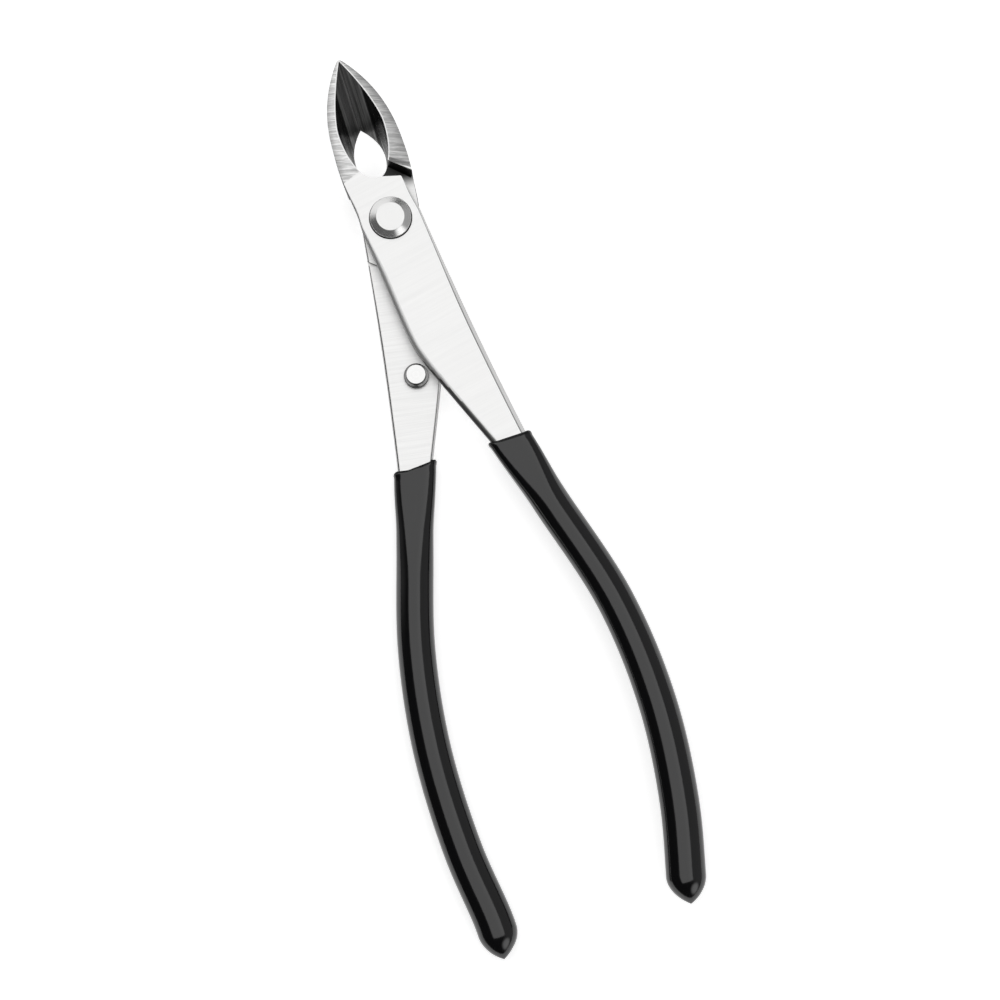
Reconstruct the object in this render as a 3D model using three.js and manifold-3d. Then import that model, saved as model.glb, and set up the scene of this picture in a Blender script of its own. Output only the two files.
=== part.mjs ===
// Bonsai branch cutter, closed, lying flat: two lapped levers on one rivet, with dipped grips.
// Millimetres. +Y runs from the rivet to the jaw tips, +Z up the rivet, z = 0 under its back head.
import * as THREE from 'three';
import Module from 'manifold-3d';
import { mergeVertices } from 'three/addons/utils/BufferGeometryUtils.js';

const wasm = await Module();
wasm.setup();

// Head: reaches are measured from the rivet axis
const tipReach = 39.5;
const jawWidth = 16.4;
const jawShoulderReach = 14.5;
const tipOverrun = 0.4;
const tipBluntHalf = 0.25;
const headThickness = 10;
const flushReach = 24.7;
const flushSag = 0.7;
const edgeLand = 0.35;
const seamGap = 0.1;

// Hollow between the jaws: the near rim is the wide one, the far window the narrow one
const rimWidth = 10.9;
const rimWideReach = 22.5;
const rimFootReach = 10.1;
const windowWidth = 7.3;
const windowWideReach = 16.8;
const windowFootReach = 11.5;
const hollowScoop = 0.7;

// Ground band outside each near rim
const bandInnerReach = 12.7;
const bandOuterReach = 10.6;
const rimEdgeWidth = 0.25;
const bandPast = 1;

// Lap of the two levers
const lapWidth = 14.4;
const lapGap = 0.1;
const bossRadius = 10.7;
const handleStep = 1.25;
const lapCornerReach = 8.95;
const lapCornerRound = 0.7;
const lapNoseReach = 10.3;
const shoulderInnerX = 3.7;
const shoulderInnerReach = 13.1;
const shoulderOuterReach = 9.2;
const jawShiftRun = 4;

// Bare handle from the lap to the mouth of the grip
const kneeReach = 31;
const kneeRound = 4;
const handleChamfer = 1;
const undersideChamfer = 0.6;

// Rivet
const shankRadius = 3;
const shankClearance = 0.1;
const headRadius = 4.9;
const headRim = 0.35;
const headFlatRadius = 3.3;
const headHeight = 2;
const backHeadRadius = 4.6;
const backFlatRadius = 3.2;
const backHeadHeight = 1.6;
const headSeat = 0.1;

// Stop pin, which meets the inner edge of the other handle
const pinRadius = 2.75;
const pinHeight = 3.4;
const pinChamfer = 0.45;
const pinReach = 35.2;
const pinTenonRadius = 2;
const pinTenonDepth = 2.4;
const stopGap = 0.35;
const pinSeat = 0.1;

// Tang inside the grip, and the grip's wall round it
const tailGap = 4;
const tangWidth = 6;
const tangThickness = 5.2;
const gripClearance = 0.15;
const mouthWall = 0.95;
const mouthCover = 1.05;
const gripWall = 1.35;
const tailSwell = 0.25;
const lipLength = 1.4;
const lipRise = 0.15;
const lipRound = 0.4;
const tailRound = 4.4;
const tailPast = 1.5;
const tailLength = 6.6;
const tailTipRadius = 0.3;
const tailLift = 1.7;
const turnLength = 16;
const plateInGrip = 6;
const tangStart = 2;

// Each handle: how far it leans outward, how far its jaw's side is shifted, the reaches of its
// grip's mouth and tail, how far the tail's drip hangs to the side, how far it bows out, and the
// grip's centre line as shares of that bow and tail reach
const upperHandle = {
  leanShare: -0.025,
  jawShift: 0.25,
  mouthReach: 57,
  gripReach: 169.7,
  dripShift: 0.7,
  bow: 23.3,
  lineShares: [[0.62, 0.434], [0.923, 0.591], [0.998, 0.737], [0.895, 0.873], [0.67, 1]],
};
const lowerHandle = {
  leanShare: 0.025,
  jawShift: -0.3,
  mouthReach: 56,
  gripReach: 168.4,
  dripShift: 0.3,
  bow: 29.9,
  lineShares: [[0.625, 0.444], [0.851, 0.575], [0.975, 0.711], [0.988, 0.852], [0.93, 0.96], [0.935, 1]],
};

// Shares of the shapes: powers of the curves and slopes of the handle's two edges
const nosePowerShare = 2.65;
const rimPowerShare = 1.5;
const windowPowerShare = 2;
const hollowSpreadShare = 1.15;
const bandSlopeShare = 0.36;
const bandRampShare = 0.3;
const bandSpreadShare = 1.4;
const outerSlopeShare = 0.117;
const outerFlareShare = 0.029;
const lapTaperShare = 0.07;
const innerSlopeShare = 0.104;
const kneeSlopeShare = 0.433;
const mouthSquareShare = 5;
const tangSquareShare = 4;
const gripSquareShare = 2.3;
const fadeShare = 0.35;
const lapChamferShare = 0.45;
const tangFitShare = 0.9;
const swellStartShare = 0.25;
const tailPowerShare = 2;
const tipPowerShare = 0.85;
const tailStepShare = 1.6;

// Counts of facets
const hollowSides = 40;
const hollowLevels = 8;
const bandStations = 26;
const noseSteps = 18;
const edgeSteps = 20;
const shoulderSteps = 3;
const tangStations = 14;
const tangSides = 12;
const pocketStations = 3;
const gripStations = 22;
const gripSides = 24;
const tailSteps = 9;
const roundSides = 48;
const curveSegments = 8;

// Derived sizes
const halfHead = headThickness / 2;
const jawHalf = jawWidth / 2;
const lapHalf = lapWidth / 2;
const lapFace = lapGap / 2;
const seam = seamGap / 2;
const overrun = headThickness / 2;
const shankHole = shankRadius + shankClearance;
const plateMid = (halfHead + handleStep) / 2;
const slabHalf = upperHandle.gripReach;
const pivotHeight = halfHead + headSeat + backHeadHeight;

const steel = { color: 0xdcdcda, roughness: 0.32, metalness: 1 };
const paleSteel = { color: 0xe6e6e4, roughness: 0.3, metalness: 1 };
const brightSteel = { color: 0xe9e9e8, roughness: 0.18, metalness: 1 };
const blackVinyl = { color: 0x0b0b0d, roughness: 0.16, metalness: 0 };

const lerp = THREE.MathUtils.lerp;
const smooth = (value, low, high) => THREE.MathUtils.smoothstep(value, low, high);

// A closed geometry as a solid for cutting and joining
function toSolid(geometry) {
  const bare = geometry.clone();
  bare.deleteAttribute('normal');
  bare.deleteAttribute('uv');
  const merged = mergeVertices(bare);
  const vertProperties = new Float32Array(merged.attributes.position.array);
  const triVerts = new Uint32Array(merged.index.array);
  return new wasm.Manifold(new wasm.Mesh({ numProp: 3, vertProperties, triVerts }));
}

function toGeometry(solid) {
  const mesh = solid.getMesh();
  const geometry = new THREE.BufferGeometry();
  geometry.setAttribute('position', new THREE.BufferAttribute(new Float32Array(mesh.vertProperties), 3));
  geometry.setIndex(new THREE.BufferAttribute(new Uint32Array(mesh.triVerts), 1));
  geometry.computeVertexNormals();
  return geometry;
}

// A loft through closed rings of equal count, with a fan over each end, turned to face out
function loft(rings) {
  const count = rings[0].length;
  const points = rings.flat();
  const faces = [];
  for (let r = 0; r + 1 < rings.length; r += 1) {
    for (let i = 0; i < count; i += 1) {
      const j = (i + 1) % count;
      const low = r * count;
      const high = low + count;
      faces.push([low + i, low + j, high + j], [low + i, high + j, high + i]);
    }
  }
  const addCap = (ring, start, flip) => {
    const centre = new THREE.Vector3();
    ring.forEach((point) => centre.add(point));
    points.push(centre.divideScalar(count));
    const hub = points.length - 1;
    for (let i = 0; i < count; i += 1) {
      const j = (i + 1) % count;
      faces.push(flip ? [hub, start + j, start + i] : [hub, start + i, start + j]);
    }
  };
  addCap(rings[0], 0, true);
  addCap(rings[rings.length - 1], (rings.length - 1) * count, false);
  let volume = 0;
  faces.forEach(([a, b, c]) => {
    volume += points[a].dot(points[b].clone().cross(points[c]));
  });
  const order = volume < 0 ? faces.map(([a, b, c]) => [a, c, b]) : faces;
  const geometry = new THREE.BufferGeometry().setFromPoints(points);
  geometry.setIndex(order.flat());
  return geometry;
}

// A flat outline raised from one height to another
function raise(shape, low, high) {
  const settings = { depth: high - low, bevelEnabled: false, curveSegments };
  return new THREE.ExtrudeGeometry(shape, settings).translate(0, 0, low);
}

// How far a reach lies from the shoulder towards the tip, from 0 to 1
function noseRise(reach) {
  return Math.max(0, (reach - jawShoulderReach) / (tipReach + tipOverrun - jawShoulderReach));
}

// Half the width of the closed jaws at a reach: full at the shoulder, drawn in to a blunt tip
function noseHalf(reach) {
  return jawHalf * (1 - noseRise(reach) ** nosePowerShare);
}

// Reach of the slanted flush face at a depth share, 0 at the near side and 1 at the far side
function flushFace(depth) {
  const sag = 4 * flushSag * depth * (1 - depth);
  return lerp(tipReach, flushReach, depth) - sag;
}

// The hollow at a depth share: the reaches of its point, widest place and foot, and its half width
function hollowAt(depth) {
  const bulge = 4 * hollowScoop * depth * (1 - depth);
  return {
    point: flushFace(depth) - edgeLand,
    wide: lerp(rimWideReach, windowWideReach, depth),
    foot: lerp(rimFootReach, windowFootReach, depth),
    half: (lerp(rimWidth, windowWidth, depth) + bulge) / 2,
    powerShare: lerp(rimPowerShare, windowPowerShare, depth),
  };
}

// Half the hollow's width at a reach
function hollowHalf(hollow, reach) {
  if (reach > hollow.wide) {
    const rise = Math.min(1, (reach - hollow.wide) / (hollow.point - hollow.wide));
    return hollow.half * (1 - rise ** hollow.powerShare);
  }
  const fall = Math.min(1, (hollow.wide - reach) / (hollow.wide - hollow.foot));
  return hollow.half * Math.sqrt(1 - fall * fall);
}

// One closed ring of the hollow, from its point down one side and up the other
function hollowRing(depth) {
  const hollow = hollowAt(depth);
  const height = halfHead - depth * headThickness;
  const ring = [];
  for (let i = 0; i < hollowSides; i += 1) {
    const turn = (2 * Math.PI * i) / hollowSides;
    const upper = hollow.point - hollow.wide;
    const lower = hollow.wide - hollow.foot;
    const swing = Math.cos(turn);
    const reach = swing > 0 ? hollow.wide + upper * swing ** hollowSpreadShare : hollow.wide + lower * swing;
    const side = Math.sign(Math.sin(turn));
    const half = i === 0 || i * 2 === hollowSides ? 0 : hollowHalf(hollow, reach);
    ring.push(new THREE.Vector3(side * half, reach, height));
  }
  return ring;
}

function hollowSolid() {
  const rings = [];
  for (let level = -1; level <= hollowLevels + 1; level += 1) {
    rings.push(hollowRing(level / hollowLevels));
  }
  return toSolid(loft(rings));
}

// All that lies beyond the slanted flush face
function flushCut() {
  const profile = new THREE.Shape();
  const bowReach = (tipReach + flushReach) / 2 - 2 * flushSag;
  const tipSlope = 2 * (tipReach - bowReach);
  const footSlope = 2 * (bowReach - flushReach);
  const runShare = overrun / headThickness;
  profile.moveTo(tipReach + tipSlope * runShare, halfHead + overrun);
  profile.lineTo(tipReach, halfHead);
  profile.quadraticCurveTo(bowReach, 0, flushReach, -halfHead);
  profile.lineTo(flushReach - footSlope * runShare, -halfHead - overrun);
  profile.lineTo(tipReach * 2, -halfHead - overrun);
  profile.lineTo(tipReach * 2, halfHead + overrun);
  profile.closePath();
  const settings = { depth: jawWidth * 2, bevelEnabled: false, curveSegments: hollowLevels };
  const geometry = new THREE.ExtrudeGeometry(profile, settings);
  geometry.translate(0, 0, -jawWidth);
  geometry.applyMatrix4(new THREE.Matrix4().set(0, 0, 1, 0, 1, 0, 0, 0, 0, 1, 0, 0, 0, 0, 0, 1));
  return toSolid(geometry);
}

// The wedge that grinds one jaw's band down from its near rim to its outer edge
function bandCut(side) {
  const rim = hollowAt(0);
  const rings = [];
  for (let i = 0; i <= bandStations; i += 1) {
    const share = (i / bandStations) ** bandSpreadShare;
    const innerReach = lerp(bandInnerReach, rim.point, share);
    const outerReach = lerp(bandOuterReach, tipReach + overrun * share * share, share);
    const inner = hollowHalf(rim, innerReach) + rimEdgeWidth;
    const outer = Math.max(inner, noseHalf(Math.min(outerReach, tipReach))) + bandPast;
    const fall = (outer - inner) * bandSlopeShare * smooth(share, 0, bandRampShare);
    rings.push([
      new THREE.Vector3(side * inner, innerReach, halfHead),
      new THREE.Vector3(side * outer, outerReach, halfHead - fall),
      new THREE.Vector3(side * outer, outerReach, halfHead + overrun),
      new THREE.Vector3(side * inner, innerReach, halfHead + overrun),
    ]);
  }
  return toSolid(loft(rings));
}

// The edge that faces the other lever, as a distance from the tool's axis; a reach past the
// rivet towards the handle is positive, and one towards the jaw is negative
function innerEdge(handle, reach) {
  if (reach < 0) {
    const shift = handle.jawShift * smooth(-reach, 0, jawShiftRun);
    return shift - lerp(lapHalf, jawHalf, smooth(-reach, 0, jawShoulderReach));
  }
  const bendAt = (past) => (past + Math.sqrt(past * past + kneeRound * kneeRound)) / 2;
  const bend = bendAt(reach - kneeReach) - bendAt(-kneeReach);
  const kneeTurn = kneeSlopeShare - innerSlopeShare;
  return (innerSlopeShare + handle.leanShare) * reach + kneeTurn * bend - lapHalf;
}

// The edge on the handle's outer side
function outerEdge(handle, reach) {
  const flare = (outerFlareShare * reach * Math.abs(reach)) / handle.mouthReach;
  const lean = handle.leanShare * Math.max(0, reach) + lapTaperShare * Math.min(0, reach);
  return lapHalf + outerSlopeShare * reach + flare + lean;
}

// Reaches of the points down a jaw's outer side, from its nose to the shoulder of its lap
function jawReaches() {
  const reaches = [];
  for (let i = 0; i <= shoulderSteps; i += 1) {
    reaches.push(lerp(jawShoulderReach, shoulderOuterReach, i / shoulderSteps));
  }
  return reaches;
}

// Reaches of the points along a lever's edges, from its jaw's shoulder to its hidden end
function edgeReaches(handle) {
  const reaches = jawReaches().map((reach) => -reach);
  for (let i = 1; i < shoulderSteps; i += 1) reaches.push(lerp(-shoulderOuterReach, 0, i / shoulderSteps));
  const end = handle.mouthReach + plateInGrip;
  for (let i = 0; i <= edgeSteps; i += 1) reaches.push((end * i) / edgeSteps);
  return reaches;
}

// Adds the jaw's outer side, from its blunt tip back to the shoulder
function addNose(shape, handle) {
  shape.moveTo(-seam, tipReach);
  shape.lineTo(-tipBluntHalf, tipReach);
  for (let i = 1; i < noseSteps; i += 1) {
    const reach = lerp(tipReach - tipBluntHalf / 2, jawShoulderReach, i / noseSteps);
    shape.lineTo(handle.jawShift * (1 - noseRise(reach)) - noseHalf(reach), reach);
  }
}

// Jaw, lap and bare handle seen from above, for the lever whose jaw is at -X
function leverOutline(handle) {
  const shape = new THREE.Shape();
  const reaches = edgeReaches(handle);
  addNose(shape, handle);
  reaches.forEach((reach) => shape.lineTo(innerEdge(handle, reach), -reach));
  const handleReaches = reaches.filter((reach) => reach >= 0).reverse();
  handleReaches.forEach((reach) => shape.lineTo(outerEdge(handle, reach), -reach));
  const corner = outerEdge(handle, -lapCornerReach);
  shape.lineTo(outerEdge(handle, lapCornerRound - lapCornerReach), lapCornerReach - lapCornerRound);
  shape.quadraticCurveTo(corner, lapCornerReach, corner - lapCornerRound, lapCornerReach);
  shape.lineTo(-seam, lapNoseReach);
  shape.closePath();
  return shape;
}

// The jaw on the other side of the lap plane, down to its shoulder
function jawOutline(handle) {
  const shape = new THREE.Shape();
  const shoulderSlope = (shoulderInnerReach - shoulderOuterReach) / (jawHalf - shoulderInnerX);
  addNose(shape, handle);
  jawReaches().forEach((reach) => shape.lineTo(innerEdge(handle, -reach), reach));
  shape.lineTo(-seam, shoulderInnerReach + shoulderInnerX * shoulderSlope);
  shape.closePath();
  return shape;
}

// How much is taken off a handle's edge: nothing at the jaw, little at the lap, most past the knee
function chamferAt(size, reach) {
  const start = smooth(reach, -bandOuterReach, -shankRadius);
  return size * start * lerp(lapChamferShare, 1, smooth(reach, 0, kneeReach));
}

// A prism that takes the chamfer off one long edge of a handle; side is +1 on the outer edge and
// up is +1 on the top face
function chamferCut(handle, side, up, face, size) {
  const edgeAt = side > 0 ? outerEdge : innerEdge;
  const past = plateInGrip;
  const end = handle.mouthReach + plateInGrip + past;
  const rings = [...edgeReaches(handle), end].map((reach) => {
    const edge = edgeAt(handle, reach);
    const cut = chamferAt(size, reach);
    return [
      new THREE.Vector3(edge - side * (cut + past), -reach, face + up * past),
      new THREE.Vector3(edge + side * past, -reach, face - up * (cut + past)),
      new THREE.Vector3(edge + side * past, -reach, face + up * past),
    ];
  });
  return toSolid(loft(rings));
}

// Everything under the handle beyond the round lap boss, up to the handle's own underside
function reliefCut() {
  const boss = new THREE.CylinderGeometry(bossRadius, bossRadius, headThickness * 2, roundSides);
  const slab = toSolid(raise(squareOutline(slabHalf), -overrun, handleStep));
  const under = slab.subtract(toSolid(boss.rotateX(Math.PI / 2)));
  return under.subtract(toSolid(raise(squareOutline(slabHalf), -headThickness, headThickness)
    .translate(0, slabHalf, 0)));
}

function squareOutline(half) {
  const shape = new THREE.Shape();
  shape.moveTo(-half, -half);
  shape.lineTo(half, -half);
  shape.lineTo(half, half);
  shape.lineTo(-half, half);
  shape.closePath();
  return shape;
}

// Centre line of a grip, from its mouth to its tail
function gripLine(handle) {
  const reach = handle.mouthReach;
  const mouthX = (innerEdge(handle, reach) + outerEdge(handle, reach)) / 2;
  const points = [new THREE.Vector3(mouthX, -reach, 0)];
  handle.lineShares.forEach(([bowShare, reachShare]) => {
    points.push(new THREE.Vector3(bowShare * handle.bow, -reachShare * handle.gripReach, 0));
  });
  return new THREE.CatmullRomCurve3(points);
}

// A ring round the line at a distance from the mouth. It lies square to the tool's axis at the
// mouth and turns square to the line further on.
function lineRing(line, distance, half, squareShare, sides) {
  const length = line.getLength();
  const share = THREE.MathUtils.clamp(distance / length, 0, 1);
  const centre = line.getPointAt(share);
  const along = line.getTangentAt(share);
  const over = distance - share * length;
  centre.addScaledVector(along, over);
  centre.z = lerp(plateMid, tailLift, smooth(distance, 0, length / 2));
  const square = new THREE.Vector3(-along.y, along.x, 0);
  const across = new THREE.Vector3(1, 0, 0).lerp(square, smooth(distance, 0, turnLength)).normalize();
  const ring = [];
  for (let i = 0; i < sides; i += 1) {
    const turn = (2 * Math.PI * (i + 0.5)) / sides;
    const cos = Math.cos(turn);
    const sin = Math.sin(turn);
    const flat = Math.sign(cos) * Math.abs(cos) ** (2 / squareShare) * half.width;
    const rise = Math.sign(sin) * Math.abs(sin) ** (2 / squareShare) * half.height;
    ring.push(centre.clone().addScaledVector(across, flat).add(new THREE.Vector3(0, 0, rise)));
  }
  return ring;
}

// Half width and half height of the metal at a distance past the mouth, from the bare handle's
// section there to the slimmer tang
function metalHalf(handle, distance, length, fitShare) {
  const plateWidth = outerEdge(handle, handle.mouthReach) - innerEdge(handle, handle.mouthReach);
  const plateThickness = halfHead - handleStep;
  const slim = smooth(distance, 0, turnLength);
  const fade = smooth(distance, 0, length * fadeShare);
  return {
    width: lerp(plateWidth * fitShare, tangWidth, slim) / 2,
    height: lerp(plateThickness * fitShare, tangThickness, fade) / 2,
  };
}

// The tang that runs on from the bare handle, or its pocket when it is grown by a clearance
function tangSolid(handle, grow) {
  const line = gripLine(handle);
  const length = line.getLength();
  const end = length - tailGap - tailRound + grow;
  const rings = [];
  for (let i = 0; i <= tangStations; i += 1) {
    const distance = lerp(tangStart - grow, end, i / tangStations);
    const metal = metalHalf(handle, distance, length, tangFitShare);
    const half = { width: metal.width + grow, height: metal.height + grow };
    rings.push(lineRing(line, distance, half, tangSquareShare, tangSides));
  }
  return toSolid(loft(rings));
}

// The pocket round the end of the bare handle that lies inside the grip
function platePocket(handle) {
  const rings = [];
  const low = handleStep - gripClearance;
  const high = halfHead + gripClearance;
  const start = handle.mouthReach - lipLength;
  const end = handle.mouthReach + plateInGrip + gripClearance;
  for (let i = 0; i <= pocketStations; i += 1) {
    const reach = lerp(start, end, i / pocketStations);
    const inner = innerEdge(handle, reach) - gripClearance;
    const outer = outerEdge(handle, reach) + gripClearance;
    rings.push([
      new THREE.Vector3(inner + undersideChamfer, -reach, low),
      new THREE.Vector3(outer - undersideChamfer, -reach, low),
      new THREE.Vector3(outer, -reach, low + undersideChamfer),
      new THREE.Vector3(outer, -reach, high - handleChamfer),
      new THREE.Vector3(outer - handleChamfer, -reach, high),
      new THREE.Vector3(inner + handleChamfer, -reach, high),
      new THREE.Vector3(inner, -reach, high - handleChamfer),
      new THREE.Vector3(inner, -reach, low + undersideChamfer),
    ]);
  }
  return toSolid(loft(rings));
}

// How much of the grip's section is left in its tail, from 1 at its start to 0 at its drip
function tailShare(distance, length) {
  const left = length + tailPast - distance;
  const end = 1 - THREE.MathUtils.clamp(left / tailLength, 0, 1);
  return (1 - end ** tailPowerShare) ** tipPowerShare;
}

// The grip's section with its lip and its pointed tail
function gripGrow(distance, length, half) {
  const tail = tailShare(distance, length);
  const lipIn = lipRound * (1 - Math.sqrt(1 - (1 - Math.min(1, distance / lipRound)) ** 2));
  const lip = lipRise * (1 - smooth(distance, lipLength / 2, lipLength)) - lipIn;
  return {
    width: Math.max(tailTipRadius, (half.width + lip) * tail),
    height: Math.max(tailTipRadius, (half.height + lip) * tail),
  };
}

function gripSolid(handle) {
  const line = gripLine(handle);
  const length = line.getLength();
  const end = length + tailPast;
  const distances = [0, lipRound / 4, lipRound, lipLength / 2, lipLength];
  for (let i = 1; i < gripStations; i += 1) {
    distances.push(lerp(lipLength, end - tailLength, i / gripStations));
  }
  for (let i = tailSteps; i >= 0; i -= 1) {
    distances.push(end - tailLength * (i / tailSteps) ** tailStepShare);
  }
  const rings = distances.map((distance) => {
    const slim = smooth(distance, 0, turnLength);
    const fade = smooth(distance, 0, length * fadeShare);
    const metal = metalHalf(handle, distance, length, 1);
    const swell = tailSwell * smooth(distance, length * swellStartShare, length);
    const half = {
      width: metal.width + lerp(mouthWall, gripWall, slim) + swell,
      height: metal.height + lerp(mouthCover, gripWall, fade),
    };
    const squareShare = lerp(mouthSquareShare, gripSquareShare, fade);
    const ring = lineRing(line, distance, gripGrow(distance, length, half), squareShare, gripSides);
    const drip = new THREE.Vector3(handle.dripShift * (1 - tailShare(distance, length)), 0, 0);
    return ring.map((point) => point.add(drip));
  });
  const outer = toSolid(loft(rings));
  return outer.subtract(platePocket(handle)).subtract(tangSolid(handle, gripClearance));
}

// One lever as forged, with its jaw at -X and its handle above the lap plane
function leverBlank(handle) {
  const hole = new THREE.CylinderGeometry(shankHole, shankHole, headThickness * 2, roundSides);
  const handleOnly = (solid) => solid.subtract(lapKeep());
  return toSolid(raise(leverOutline(handle), lapFace, halfHead))
    .subtract(reliefCut())
    .subtract(chamferCut(handle, 1, 1, halfHead, handleChamfer))
    .subtract(chamferCut(handle, -1, 1, halfHead, handleChamfer))
    .subtract(handleOnly(chamferCut(handle, 1, -1, handleStep, undersideChamfer)))
    .subtract(handleOnly(chamferCut(handle, -1, -1, handleStep, undersideChamfer)))
    .add(toSolid(raise(jawOutline(handle), -halfHead, lapFace)))
    .add(tangSolid(handle, 0))
    .subtract(toSolid(hole.rotateX(Math.PI / 2)));
}

// The part of a lever round its lap, which the chamfers under the handle leave alone
function lapKeep() {
  const block = raise(squareOutline(slabHalf), -headThickness, headThickness);
  return toSolid(block.translate(0, slabHalf - bossRadius, 0));
}

// Turned over about the tool's axis, which makes the lower piece from the upper one's form
function turnOver(solid) {
  return toSolid(toGeometry(solid).rotateY(Math.PI));
}

function grindHead(solid, side) {
  return solid.subtract(hollowSolid()).subtract(flushCut()).subtract(bandCut(side));
}

// Where the stop pin stands, off the inner edge of the upper handle
function pinPlace() {
  const edge = innerEdge(upperHandle, pinReach);
  const step = kneeRound / 2;
  const rise = innerEdge(upperHandle, pinReach + step) - innerEdge(upperHandle, pinReach - step);
  const away = new THREE.Vector2(-2 * step, -rise).normalize().multiplyScalar(pinRadius + stopGap);
  return new THREE.Vector2(edge + away.x, -pinReach + away.y);
}

// A round solid turned from points of radius and height
function turned(points) {
  const profile = points.map(([radius, height]) => new THREE.Vector2(radius, height));
  return new THREE.LatheGeometry(profile, roundSides).rotateX(Math.PI / 2);
}

function rivetGeometry() {
  const seat = halfHead + headSeat;
  return turned([
    [0, -seat - backHeadHeight],
    [backFlatRadius, -seat - backHeadHeight],
    [backHeadRadius, -seat - headRim],
    [backHeadRadius, -seat],
    [shankRadius, -seat],
    [shankRadius, seat],
    [headRadius, seat],
    [headRadius, seat + headRim],
    [headFlatRadius, seat + headHeight],
    [0, seat + headHeight],
  ]);
}

function pinGeometry() {
  return turned([
    [0, -pinTenonDepth],
    [pinTenonRadius, -pinTenonDepth],
    [pinTenonRadius, pinSeat],
    [pinRadius, pinSeat],
    [pinRadius, pinHeight - pinChamfer],
    [pinRadius - pinChamfer, pinHeight],
    [0, pinHeight],
  ]);
}

function pinHoleSolid(place) {
  const radius = pinTenonRadius + pinSeat;
  const depth = pinTenonDepth + pinSeat;
  const hole = new THREE.CylinderGeometry(radius, radius, depth * 2, roundSides);
  hole.rotateX(Math.PI / 2).translate(place.x, place.y, -handleStep);
  return toSolid(hole);
}

function addPiece(group, name, geometry, material) {
  const mesh = new THREE.Mesh(geometry, new THREE.MeshStandardMaterial(material));
  mesh.name = name;
  group.add(mesh);
  return mesh;
}

const cutter = new THREE.Group();
const tool = new THREE.Group();
tool.position.z = pivotHeight;
cutter.add(tool);

const pin = pinPlace();
const upperLever = grindHead(leverBlank(upperHandle), -1);
const lowerLever = grindHead(turnOver(leverBlank(lowerHandle)), 1).subtract(pinHoleSolid(pin));

addPiece(tool, 'lower_lever', toGeometry(lowerLever), steel);
addPiece(tool, 'upper_lever', toGeometry(upperLever), paleSteel);
addPiece(tool, 'pivot_rivet', rivetGeometry(), brightSteel);
const stopPin = addPiece(tool, 'stop_pin', pinGeometry(), brightSteel);
stopPin.position.set(pin.x, pin.y, -handleStep);
addPiece(tool, 'lower_grip', toGeometry(turnOver(gripSolid(lowerHandle))), blackVinyl);
addPiece(tool, 'upper_grip', toGeometry(gripSolid(upperHandle)), blackVinyl);

export default cutter;
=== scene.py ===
"""Looks of the bonsai branch cutter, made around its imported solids.

Each piece is shaped in millimetres, measured from the rivet's axis at the middle of the lap, and
is set into the frame, in metres, once it is finished.
"""

import logging
import math
from dataclasses import dataclass
from enum import Enum
from typing import Callable

import bpy
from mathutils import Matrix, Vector

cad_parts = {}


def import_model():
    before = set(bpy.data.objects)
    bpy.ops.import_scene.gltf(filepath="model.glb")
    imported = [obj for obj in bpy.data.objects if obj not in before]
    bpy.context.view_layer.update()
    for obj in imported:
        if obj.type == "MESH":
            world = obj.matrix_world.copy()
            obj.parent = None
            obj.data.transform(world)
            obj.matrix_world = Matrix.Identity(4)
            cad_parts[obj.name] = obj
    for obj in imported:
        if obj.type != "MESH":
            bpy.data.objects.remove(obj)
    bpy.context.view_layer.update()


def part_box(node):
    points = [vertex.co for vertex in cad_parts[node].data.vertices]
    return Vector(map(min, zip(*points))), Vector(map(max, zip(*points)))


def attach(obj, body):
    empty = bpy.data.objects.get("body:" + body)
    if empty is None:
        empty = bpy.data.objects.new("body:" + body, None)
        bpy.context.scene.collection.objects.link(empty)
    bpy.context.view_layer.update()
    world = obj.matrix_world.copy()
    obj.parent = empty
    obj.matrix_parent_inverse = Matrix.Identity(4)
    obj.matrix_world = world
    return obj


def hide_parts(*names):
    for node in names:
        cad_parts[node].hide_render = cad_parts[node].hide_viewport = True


LOG = logging.getLogger("branch_cutter")
METRES_PER_MM = 0.001
PIVOT_HEIGHT = 6.7
MERGE_DISTANCE = 0.0004
WHITE = (1, 1, 1, 1)
FINE_SCALE, FINE_DETAIL, FINE_ROUGHNESS = 1.0, 3.0, 0.62
BROAD_SCALE, BROAD_DETAIL = 0.3, 1.0
STREAK_BROAD_SHARE, RING_BROAD_SHARE = 0.4, 0.2
PATCH_SHARE, PATCH_DETAIL, RIPPLE_DETAIL = 0.2, 4.0, 2.0
Point = tuple[float, float]
Spot = tuple[float, float, float]
Piece = bpy.types.Object
Socket = bpy.types.NodeSocket
Node = bpy.types.Node
Feeds = dict[int | str, object]
Place = Callable[[int, int], Vector]
Choice = Callable[[Vector], bool]


class Cut(Enum):
    """What a tool does to the piece it meets."""

    TAKE_AWAY = "DIFFERENCE"
    JOIN = "UNION"


class Side(Enum):
    """The side of the tool's axis that a jaw lies on."""

    LEFT = -1
    RIGHT = 1


def lerp(low: float, high: float, share: float) -> float:
    """Gives the value at a share of the way from low to high."""
    return low + (high - low) * share


def ease(value: float, low: float, high: float) -> float:
    """Rises smoothly from 0 at low to 1 at high."""
    share = min(1.0, max(0.0, (value - low) / (high - low)))
    return share * share * (3.0 - 2.0 * share)


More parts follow.
